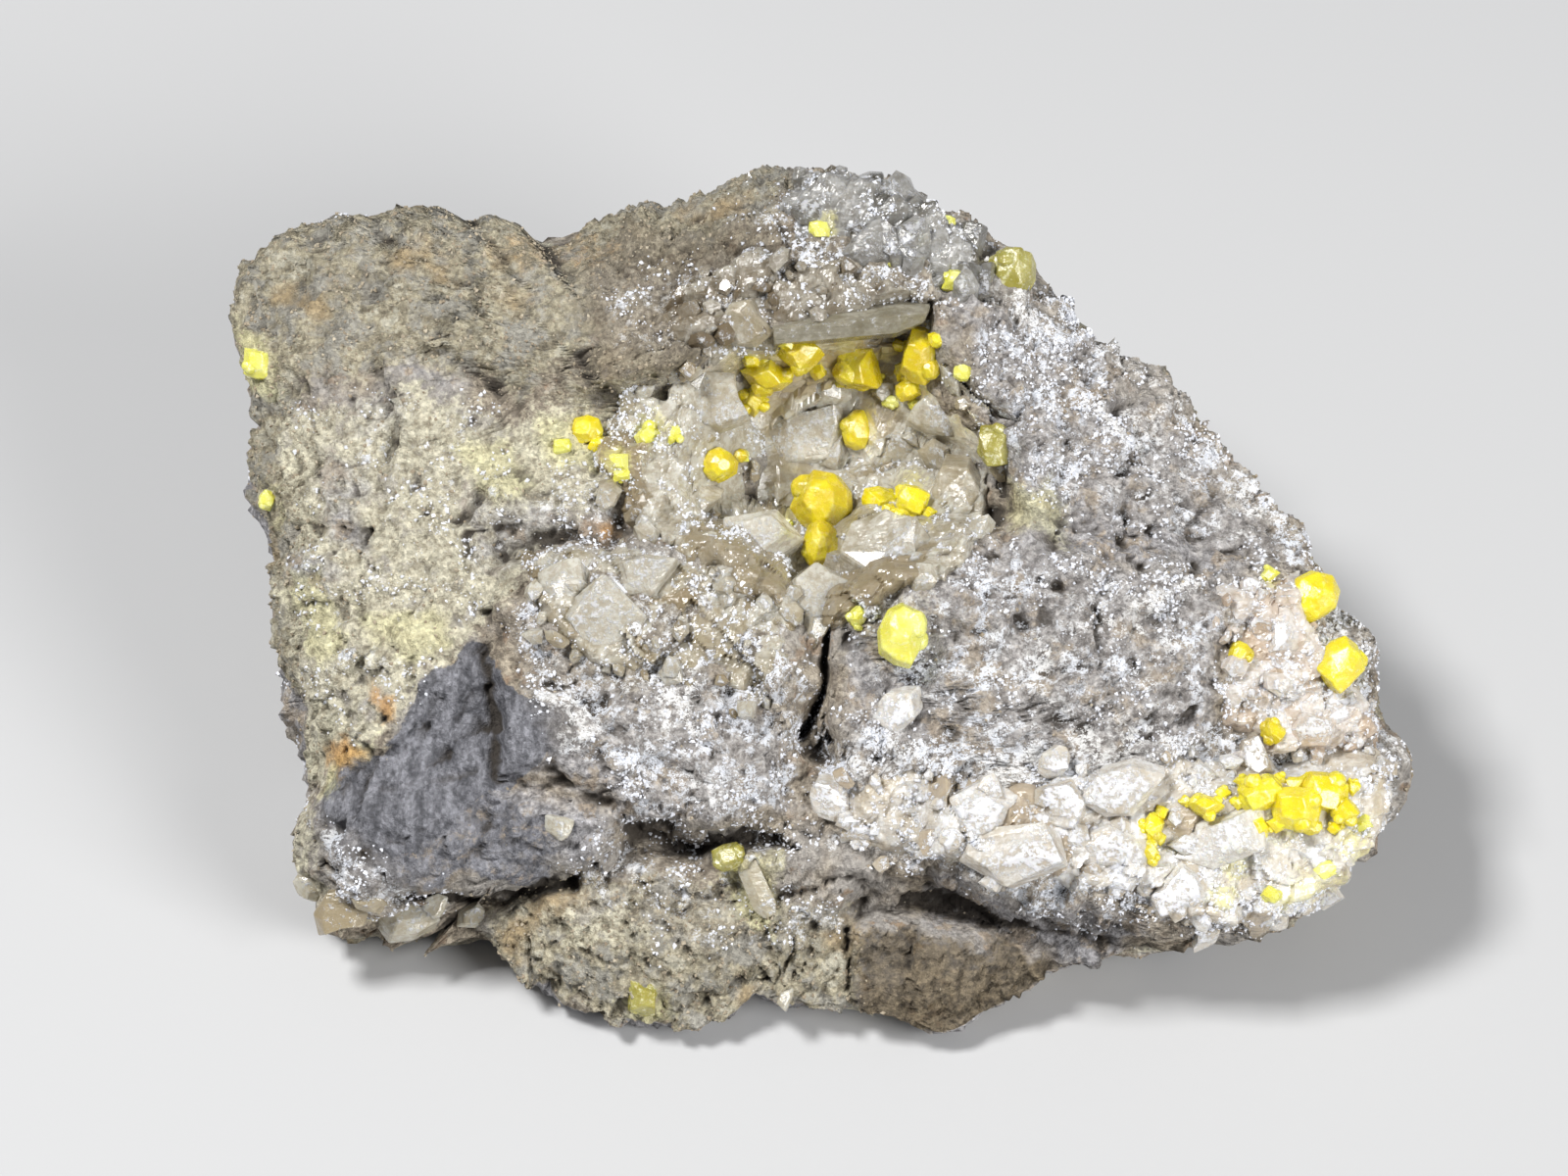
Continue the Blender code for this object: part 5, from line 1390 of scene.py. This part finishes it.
def crystal_mesh(name, points, faces, values, finish, replaced=(), slot="calcite"):
    """A piece from points on the grid, with its values for each point."""
    made = piece(name, to_body(points) * SQUARE, faces, finish, replaced, False)
    for key, numbers in values.items():
        give(made, key, numbers)
    return made


crust_shapes = {}
for name, (look, *measures, outline) in CRUSTS.items():
    crust_shapes[name] = crust(outline, *measures)
    crystal_mesh(name + "_sheet", *crust_shapes[name], calcite_finishes[look])
    print(name, len(crust_shapes[name][1]), "triangles")

crust_meshes = [(points, faces) for points, faces, _ in crust_shapes.values()]
covered = BVHTree.FromPolygons(*[part.tolist() for part in joined([(skin, skin_faces), *crust_meshes])])


def top_at(across, up):
    """How far out the highest surface is at a place on the face, rock or crust."""
    place = covered.ray_cast(Vector((across, up, ABOVE_ALL)), INWARDS)[0]
    return place.z if place else ground_at(across, up)[0]


# %% [markdown]
# ## Calcite blocks
# Single crystals stand out of the crusts. The large ones have places of their own, and small ones are strewn
# between them. Each is one of a few kinds, turned, stretched, and set with its foot in the ground.

# %% The large calcite blocks
# Blocks that stand out: (across, up, half the width, half the height, turn on the face in degrees)
CALCITE = {
    "calcite_hollow_crust": [
        (-8.2, 18.8, 4.0, 3.4, 20), (10.0, 3.4, 5.0, 4.6, 35), (4.0, -1.0, 4.2, 3.4, -15),
        (2.2, 15.4, 4.8, 3.2, 10), (16.0, 17.0, 3.4, 3.0, 30), (17.5, 9.0, 2.8, 4.8, -10),
        (12.0, 13.6, 3.0, 2.6, 45), (-2.4, 4.8, 4.4, 3.4, 15), (-9.0, 8.8, 3.4, 2.6, 30),
        (4.6, 20.4, 3.0, 2.2, 5), (-14.6, 12.6, 3.4, 2.6, 25), (-3.6, 27.0, 3.0, 2.8, -20),
    ],
    "calcite_long_prism": [(7.0, 27.0, 8.2, 1.9, 6)],
    "calcite_ridge_druse": [
        (3.4, 40.0, 2.2, 3.0, 15), (7.4, 40.8, 3.4, 1.6, 20), (11.4, 39.0, 3.2, 3.0, -30),
        (9.0, 35.0, 3.6, 2.8, 10), (14.6, 35.8, 3.0, 2.2, 40), (19.0, 34.6, 1.5, 3.0, -15),
        (1.5, 42.0, 0.8, 1.5, -10), (5.2, 41.0, 1.5, 1.5, 30), (9.4, 40.2, 2.2, 1.3, -40),
        (13.4, 37.8, 1.9, 2.3, -50), (17.0, 35.0, 1.4, 2.0, 10),
    ],
    "calcite_shelf_crust": [
        (34.0, -20.2, 4.8, 2.9, 10), (33.0, -25.8, 4.2, 2.5, -5), (23.0, -26.8, 5.6, 3.4, 0),
        (44.0, -25.6, 5.0, 3.2, 10), (20.6, -21.8, 3.6, 2.8, 30), (27.6, -21.6, 3.0, 3.0, 65),
        (39.6, -31.0, 3.0, 2.6, 40), (49.0, -32.0, 2.4, 2.8, 15), (53.6, -27.0, 4.4, 2.8, -20),
        (59.4, -21.4, 2.4, 3.4, -5),
    ],
    "calcite_right_crust": [
        (52.4, -10.2, 3.0, 2.6, -20), (56.6, -12.6, 2.8, 2.4, 40), (50.2, -4.6, 2.8, 2.6, 50),
        (53.4, -14.4, 3.0, 2.0, 10),
    ],
    "calcite_lump_blocks": [
        (-18.0, -3.0, 4.4, 4.6, 20), (-13.6, 1.2, 3.4, 2.6, -15), (-22.0, 0.6, 2.8, 2.8, 45),
    ],
    "calcite_white_block": [(11.4, -12.4, 3.0, 2.6, 15)],
    "calcite_shelf_block": [(5.2, -21.0, 2.9, 2.8, 30), (8.4, -24.2, 2.6, 2.2, -10)],
    "calcite_pale_prism": [(-2.4, -30.6, 1.3, 3.0, 25)],
}
CALCITE_STAND = 0.36  # of a block's half width and half height together: how far it stands out
# The long prism takes the darkened olive finish, whose darkness is partly painted shade.
BLOCK_LOOKS = {"calcite_white_block": "white", "calcite_shelf_block": "white", "calcite_pale_prism": "straw",
               "calcite_long_prism": "shaded_olive"}  # the others take their crust's finish
OUTWARDS = (0, 0, 1)
# Small blocks strewn on a crust: how many, smallest and largest half size, how slim, and where they point
STREWN_BLOCKS = {
    "calcite_hollow_crust": (56, 0.6, 1.9, 1.0, OUTWARDS),
    "calcite_ridge_druse": (46, 0.9, 2.6, 0.8, (0.1, 0.8, 0.8)),
    "calcite_shelf_crust": (120, 0.5, 2.0, 1.0, OUTWARDS),
    "calcite_right_crust": (46, 0.5, 1.6, 1.0, (0.4, 0, 1)),
    "calcite_lump_blocks": (50, 0.5, 1.5, 1.0, OUTWARDS),
    "calcite_long_prism": (40, 0.5, 1.3, 0.8, OUTWARDS),
}
# Lumps of straw calcite along the lower left edge, and loose blocks on the frost
EDGE_LUMPS = [
    (-45.0, -32.6, 3.2, 2.4, 20), (-38.6, -34.2, 3.2, 2.6, -30), (-31.8, -33.4, 1.8, 1.5, 10),
    (-42.0, -31.8, 2.0, 1.5, 0), (-35.6, -32.4, 1.6, 1.2, 60), (-48.4, -30.4, 1.6, 1.8, 45),
    (-22.6, -24.2, 1.6, 1.4, 0), (0.4, -41.6, 1.2, 1.0, 40),
]
print(sum(len(entries) for entries in CALCITE.values()), "large blocks")

# %% [markdown]
# ## Setting a block
# A block's long axis is laid along its longer side first. Stretching it to its box, turning it on the face
# and tipping it with the ground come after that, in this order, so its measures stay true. A narrow bevel
# wears the large blocks' edges, because a knife-sharp edge catches no light.

# %% Set the blocks
FULL_TURN = 6.28  # radians
SLIM_FROM = 1.8  # how many times longer than wide a block is that is made as a prism
BLOCK_TUMBLE = 0.5  # radians: how far a broken block may roll either way
BEVEL_ANGLE = math.radians(25)  # edges sharper than this are worn
WORN = 0.14  # squares: how wide a worn edge is
OUT_SHARE = 0.75  # how far a large block points straight out; the rest is the ground's facing
LIFT, CRUST_LIFT = 0.1, 0.4  # of a large block's depth, and of a crust's thickness: how high a middle is
FEW_LARGE = 2.5  # the higher, the fewer of the small blocks are large
UNEVEN = (0.7, 1.3)  # how much shorter or longer each side of a small block may be
TRIES = 8  # places drawn for each one wanted, as some fall outside
SULFUR_GAP = 0.2  # squares: how far small blocks keep from sulfur


def turn_matrix(turn):
    """The matrix that turns rows of points by an Euler angle or a quaternion."""
    return np.array(turn.to_matrix()).T


def block(chance, place, facing, halves, turn, kinds=calcite_shapes):
    """One block: a random kind, its axis along a long side, stretched, turned, tipped with the ground."""
    wide, high = halves[0], halves[1]
    slim = max(wide, high) > SLIM_FROM * min(wide, high)
    kinds = prism_shapes if slim else kinds
    corners, faces = kinds[chance.integers(len(kinds))]
    tumble = 0.0 if kinds is prism_shapes else BLOCK_TUMBLE
    roll = (chance.uniform(-tumble, tumble), chance.uniform(-tumble, tumble), chance.uniform(0, FULL_TURN))
    if slim:
        roll = (0, math.pi / 2, 0) if wide > high else (math.pi / 2, 0, 0)
    tip = Vector(OUTWARDS).rotation_difference(Vector(facing))
    return boxed(corners, roll, halves) @ turn_matrix(Euler((0, 0, turn))) @ turn_matrix(tip) + place, faces


def scattered(chance, outline, count):
    """Places strewn evenly inside an outline, none on a sulfur crystal."""
    corners = np.array(outline, float)
    places = chance.uniform(corners.min(axis=0), corners.max(axis=0), (count * TRIES, 2))
    free = (inside_by(places, corners) > 0) & (clear_of_sulfur(places) > SULFUR_GAP)
    return places[free][:count]


def crystal_piece(name, shapes, finish, replaced, slot, tint_chance, worn=0.0):
    """Joins crystals into one piece, each with a tint of its own and an edge value that grows outwards to
    its tip. Edges are worn by so many squares."""
    points, faces = joined(shapes)
    counts = [len(corners) for corners, _ in shapes]
    edge = [ramp(c[:, 2], c[:, 2].mean(), c[:, 2].max() + 1e-6) for c, _ in shapes]
    made = crystal_mesh(name, points, faces, {
        "tint": np.repeat(tint_chance.uniform(0.3 if replaced else 0, 1, len(shapes)), counts),
        "dust": dust_at(points),
        "edge": np.concatenate(edge)}, finish, replaced, slot)
    if worn:
        soft = made.modifiers.new("worn edges", "BEVEL")
        soft.width = worn * SQUARE
        soft.segments = 1
        soft.limit_method = "ANGLE"
        soft.angle_limit = BEVEL_ANGLE


def standing_block(chance, across, up, wide, high, turn):
    """A large block at its own place, standing out by a share of its width and height."""
    out, facing = ground_at(across, up)
    depth = CALCITE_STAND * (wide + high)
    aim = np.array(OUTWARDS) * OUT_SHARE + (1 - OUT_SHARE) * facing
    return block(chance, (across, up, out + LIFT * depth), aim, (wide, high, depth), math.radians(turn))


def strewn_blocks(chance, outline, thick, count, least, most, slim, aim):
    """Small blocks on a crust: many small, few large, each pointing roughly the same way."""
    kinds = calcite_shapes if slim == 1.0 else prism_shapes
    shapes = []
    for across, up in scattered(chance, outline, count):
        out, facing = ground_at(across, up)
        size = least + (most - least) * chance.uniform() ** FEW_LARGE
        halves = size * chance.uniform(*UNEVEN, 3) * (slim**0.5, slim**0.5, 1 / slim)
        towards = 0.5 * facing + np.array(aim) + chance.uniform(-0.5, 0.5, 3)
        place = (across, up, out + CRUST_LIFT * thick)
        shapes.append(block(chance, place, towards, halves, chance.uniform(0, FULL_TURN), kinds))
    return shapes


chance = np.random.default_rng(11)
for name, entries in CALCITE.items():
    crust_look = CRUSTS[name][0] if name in CRUSTS else None
    finish = calcite_finishes[BLOCK_LOOKS.get(name, crust_look)]
    shapes = [standing_block(chance, *entry) for entry in entries]
    crystal_piece(name + "_blocks", shapes, finish, [name], "calcite", chance, WORN)
    if name in STREWN_BLOCKS:
        shapes = strewn_blocks(chance, CRUSTS[name][-1], CRUSTS[name][1], *STREWN_BLOCKS[name])
        crystal_piece(name + "_small", shapes, calcite_finishes[crust_look], (), "calcite", chance)
        print(name, len(shapes), "small blocks")
shapes = [standing_block(chance, *entry) for entry in EDGE_LUMPS]
crystal_piece("calcite_edge_lumps", shapes, calcite_finishes["straw"], (), "calcite", chance, WORN)

# %% [markdown]
# ## Sulfur
# Sulfur is soft, glossy and strongly coloured. A thin edge is lemon and a thick crystal is deeper, and its
# high index of refraction gives it a greasy shine. Light spreads inside it, so it takes some subsurface
# scatter, whose radius is long for red and green and short for blue: that keeps its shadows yellow.

# %% The sulfur finish
SULFUR_LIGHT = {"IOR": 1.96, "Subsurface_Weight": 0.2, "Subsurface_Radius": (1.0, 0.7, 0.08),
                "Subsurface_Scale": 0.001, "Transmission_Weight": 0.15}
SULFUR_POWDER = (0.90, 0.88, 0.62)


def sulfur(name, pale, deep, dusty):
    """A deep and a pale yellow mottled by a cloud, with powder where a finer noise is high."""
    n = Network(name)
    cloud, fine, grain = n.noise(1.5, 3, 0.55), n.noise(0.45, 4, 0.65), n.noise(0.14, 2, 0.6)
    base = n.mix(n.step(cloud, 0.35, 0.68), deep, pale)
    base = n.mix(n.times(n.step(fine, 0.54, 0.68), dusty), base, SULFUR_POWDER)
    height = n.plus(n.times(fine, 1.0), n.times(grain, 0.4))
    return n.set(**SULFUR_LIGHT, Base_Color=base, Roughness=n.blend(fine, 0.10, 0.42),
                 Normal=n.bump(height, 0.15, 0.5))


# Each finish: pale yellow, deep yellow, and how much powder it has
SULFURS = {
    "deep yellow": ((0.82, 0.68, 0.014), (0.66, 0.50, 0.004), 0.2),
    "bright yellow": ((0.92, 0.80, 0.02), (0.82, 0.65, 0.006), 0.3),
    "lemon": ((0.90, 0.88, 0.22), (0.80, 0.75, 0.08), 0.5),
    "greenish": ((0.46, 0.42, 0.12), (0.32, 0.28, 0.035), 0.6),
}
sulfur_finishes = {name: sulfur(name + " sulfur", *look) for name, look in SULFURS.items()}
print(len(sulfur_finishes), "sulfur finishes")

# %% [markdown]
# ## The sulfur crystals
# Sulfur grows in clumps: a crystal with smaller buds in its sides. Every crystal's middle is set a little
# above the highest surface at its place, or a little below where it's only a grain in the rock.

# %% Set the sulfur
STAND, SUNK_STAND = 0.26, -0.12  # of a crystal's half size: how far its middle is above the ground
SULFUR_LOOKS = {
    "deep yellow": ["great_crystal", "round", "oval", "head_group", "under_prism", "corner_group",
                    "right_grain", "tan_grain"],
    "lemon": ["lemon", "left_edge", "pale_pair", "small_lemon"],
    "greenish": ["foot", "gap_crystal", "lower_grain", "top_block"],
}  # the others are bright yellow
SUNK_SULFUR = ["lower_grain", "foot", "top_block", "left_edge", "pale_pair"]
ROUND_SULFUR = ["great_crystal", "lemon", "oval", "round", "edge_upper"]
BUDS = {"great_crystal": 1, "lemon": 2, "edge_upper": 0, "edge_lower": 1, "oval": 1, "round": 1}
USUAL_BUDS, LOOSE_BUDS = 4, 2
SULFUR_WORN = 0.12  # squares: how wide a worn edge is
MAIN_SHARE = 0.94  # of its box: how large the crystal that carries the buds is
BUD_SIZES = (0.30, 0.55)  # of the main crystal's size
BUD_REACH = 1.02  # of the main crystal's size: how far out a bud's far side is


def sulfur_cluster(chance, place, wide, high, buds, kinds):
    """One crystal and its buds: smaller crystals sunk into its sides, as sulfur grows in clumps."""
    corners, faces = kinds[chance.integers(len(kinds))]
    halves = np.array([wide, high, (wide + high) / 2])
    turn = chance.uniform(-0.5, 0.5, 3) + (0, 0, chance.uniform(0, FULL_TURN))
    shapes = [(boxed(corners, turn, halves * MAIN_SHARE) + place, faces)]
    for _ in range(buds):
        angle, out = chance.uniform(0, FULL_TURN), chance.uniform(-0.5, 0.7)
        size = chance.uniform(*BUD_SIZES)
        side = np.array([math.cos(angle), math.sin(angle), out]) * halves * (BUD_REACH - size)
        corners, faces = round_sulfur_shapes[chance.integers(len(round_sulfur_shapes))]
        turn = chance.uniform(0, FULL_TURN, 3)
        shapes.append((boxed(corners, turn, halves.mean() * size) + (place + side), faces))
    return shapes


def sulfur_piece(chance, name, entries, loose):
    """A group of crystals as one piece. It stands in for the group's node, unless its crystals are loose."""
    looks = [look for look, names in SULFUR_LOOKS.items() if name in names]
    finish = sulfur_finishes[looks[0] if looks else "bright yellow"]
    stand = SUNK_STAND if loose or name in SUNK_SULFUR else STAND
    buds = BUDS.get(name, LOOSE_BUDS if loose else USUAL_BUDS)
    kinds = round_sulfur_shapes if name in ROUND_SULFUR else sulfur_shapes
    shapes = []
    for across, up, wide, high in entries:
        place = np.array([across, up, top_at(across, up) + stand * (wide + high) / 2])
        shapes += sulfur_cluster(chance, place, wide, high, buds, kinds)
    node = "sulfur_" + name
    piece_name, replaced = (node, ()) if loose else (node + "_grown", [node])
    crystal_piece(piece_name, shapes, finish, replaced, "sulfur", chance, SULFUR_WORN)


chance = np.random.default_rng(17)
for name, entries in SULFUR.items():
    sulfur_piece(chance, name, entries, loose=False)
for name, entries in LOOSE_SULFUR.items():
    sulfur_piece(chance, name, entries, loose=True)
print(len(SULFUR), "groups and", len(LOOSE_SULFUR), "sets of loose crystals")

# %% [markdown]
# ## Frost and sand
# The white that sparkles over the stone is a crust of tiny crystals, and the tan parts are grains. Each is a
# joined mesh of thousands of eight-sided grains, strewn over the skin where its zone is strong. They are
# real geometry, because the glitter of a thousand small faces can't be had from bump.

# %% Strew grains
GRAIN_POINTS = np.array([(1, 0, 0), (0, 1, 0), (-1, 0, 0), (0, -1, 0), (0, 0, 1), (0, 0, -1)], float)
GRAIN_SIDES = np.array([(0, 1, 4), (1, 2, 4), (2, 3, 4), (3, 0, 4), (1, 0, 5), (2, 1, 5), (3, 2, 5),
                        (0, 3, 5)])
LOWEST_GRAIN = 0.5  # squares: grains stay this far above the base, which the specimen rests on
GRAIN_FORM = (0.6, 1.5)  # how much shorter or longer each axis of a grain may be


def strewn(name, points, faces, weight, count, size, finish, salt):
    """Grains on random triangles, chosen by area times weight, each turned at random. A place in a triangle
    is its corners blended by three random shares."""
    chance = np.random.default_rng(salt)
    corners = points[faces]
    normal = np.cross(corners[:, 1] - corners[:, 0], corners[:, 2] - corners[:, 0])
    area = np.linalg.norm(normal, axis=1)
    pull = area * weight[faces].mean(axis=1) * (corners[:, :, 2].min(axis=1) > LOWEST_GRAIN)
    chosen = chance.choice(len(faces), count, p=pull / pull.sum())
    share = chance.dirichlet((1, 1, 1), count)
    middle = np.einsum("ij,ijk->ik", share, corners[chosen])
    spin = np.linalg.qr(chance.standard_normal((count, 3, 3)))[0]
    spin *= np.sign(np.linalg.det(spin))[:, None, None]
    low, high = size
    scale = low + (high - low) * chance.uniform(size=(count, 1, 1)) ** 2
    scale = scale * chance.uniform(*GRAIN_FORM, (count, 1, 3))
    grains = np.einsum("nij,nkj->nki", spin, GRAIN_POINTS[None] * scale) + middle[:, None]
    sides = GRAIN_SIDES[None] + len(GRAIN_POINTS) * np.arange(count)[:, None, None]
    made = piece(name, grains.reshape(-1, 3) * SQUARE, sides.reshape(-1, 3), finish, (), False)
    give(made, "tint", np.repeat(chance.uniform(0, 1, count), len(GRAIN_POINTS)))
    print(name, count, "grains")


def grain_finish(name, first, second, roughness, see_through=0.0):
    """Two colours blended by each grain's own tint, then patched by noise."""
    n = Network(name)
    base = n.mix(n.attribute("tint"), first, second)
    base = n.mix(n.step(n.noise(0.8, 3), 0.35, 0.7), base, second)
    return n.set(Base_Color=base, Roughness=roughness, Transmission_Weight=see_through, IOR=1.6)


frost_finish = grain_finish("frost crystals", (0.93, 0.94, 0.97), (0.78, 0.80, 0.86), 0.25, 0.15)
sand_finish = grain_finish("sand grains", (0.50, 0.44, 0.33), (0.26, 0.21, 0.145), 0.9)
print("two grain finishes")

# %% [markdown]
# ## Where the grains lie
# Frost follows its zone, thinned to a lace by swells. Sand follows the sandy zone, thins out over the cream
# one, and keeps off the dark break. On the crusts frost gathers in the joints, on the upper side only.

# %% Frost, sand and frosted joints
FROST_SIZE, SAND_SIZE, CRUST_FROST_SIZE = (0.08, 0.28), (0.08, 0.26), (0.07, 0.26)  # squares: half sizes

lace = ramp(layers(skin, 3.2, 201, 4), -0.15, 0.5) ** 2
strewn("frost_grains", standing, skin_faces, zones["frost"] * lace, 15000, FROST_SIZE, frost_finish, 1)
sandy = (zones["sandy"] + 0.25 * zones["cream"] + 0.03) * (1 - zones["dark"])
strewn("sand_grains", standing, skin_faces, sandy, 10000, SAND_SIZE, sand_finish, 2)
crust_points, crust_triangles = joined(crust_meshes)
joints = np.concatenate([values["edge"] for *_, values in crust_shapes.values()])
upper = np.concatenate([np.arange(len(points)) < len(points) / 2 for points, _ in crust_meshes])
lace = ramp(layers(crust_points, 2.0, 231, 4), -0.2, 0.5) ** 2
strewn("crust_grains", to_body(crust_points), crust_triangles, (0.15 + joints) * lace * upper, 12000,
       CRUST_FROST_SIZE, frost_finish, 3)

# %% [markdown]
# ## Room and lights
# A pale floor and soft, wide lights show every finish without hard shadows. One lamp stands at the upper
# left as a window does, and a wider one fills in from the right.

# %% Set the stage
FLOOR_HALF = 3.0  # metres
FLOOR_GREY = (0.46, 0.46, 0.46)
AIM = Vector((0, 0, 0.02))  # metres: the place that the lamps look at
# Each lamp: its place and its width in metres, and its power in watts
LAMPS = {
    "window": ((-0.32, -0.02, 0.62), 0.16, 5.5),
    "right fill": ((0.50, -0.42, 0.40), 0.35, 5.9),
}
SKY, SKY_STRENGTH = (0.9, 0.93, 1.0, 1), 0.2


def stage_floor():
    """A square floor under the specimen, which isn't part of it."""
    mesh = bpy.data.meshes.new("floor")
    corners = [(-1, -1), (1, -1), (1, 1), (-1, 1)]
    mesh.from_pydata([(x * FLOOR_HALF, y * FLOOR_HALF, 0) for x, y in corners], [], [(0, 1, 2, 3)])
    mesh.materials.append(Network("pale floor").set(Base_Color=FLOOR_GREY, Roughness=0.7))
    floor = bpy.data.objects.new("floor", mesh)
    bpy.context.scene.collection.objects.link(floor)


def lamp(name, place, width, watts):
    """A square lamp that looks at the specimen."""
    data = bpy.data.lights.new(name, "AREA")
    data.size, data.energy = width, watts
    made = bpy.data.objects.new(name, data)
    made.location = place
    made.rotation_euler = (AIM - Vector(place)).to_track_quat("-Z", "Y").to_euler()
    bpy.context.scene.collection.objects.link(made)


stage_floor()
for name, measures in LAMPS.items():
    lamp(name, *measures)
bpy.context.scene.view_settings.view_transform = "Standard"
world = bpy.data.worlds.new("soft room")
world.use_nodes = True
world.node_tree.nodes["Background"].inputs["Color"].default_value = SKY
world.node_tree.nodes["Background"].inputs["Strength"].default_value = SKY_STRENGTH
bpy.context.scene.world = world
print(len(LAMPS), "lamps")

# %% [markdown]
# ## The camera
# A long lens from far off keeps the outline true, as nearer parts hardly look larger. The camera looks along
# the face's own outward axis at the middle of the grid.

# %% Place the camera
CAMERA_AWAY = 0.6  # metres from the middle of the grid
FILM_WIDTH, LENS, NEAREST_SEEN = 36, 180, 0.01  # millimetres, millimetres, metres

middle = to_body(np.zeros((1, 3)))[0] * SQUARE
camera = bpy.data.objects.new("camera", bpy.data.cameras.new("camera"))
camera.data.sensor_width, camera.data.lens = FILM_WIDTH, LENS
camera.data.clip_start = NEAREST_SEEN
camera.location = Vector(middle + OUT_AXIS * CAMERA_AWAY)
camera.rotation_euler = Vector(-OUT_AXIS).to_track_quat("-Z", "Y").to_euler()
bpy.context.scene.collection.objects.link(camera)
bpy.context.scene.camera = camera
print("camera at, m:", [round(value, 3) for value in camera.location])
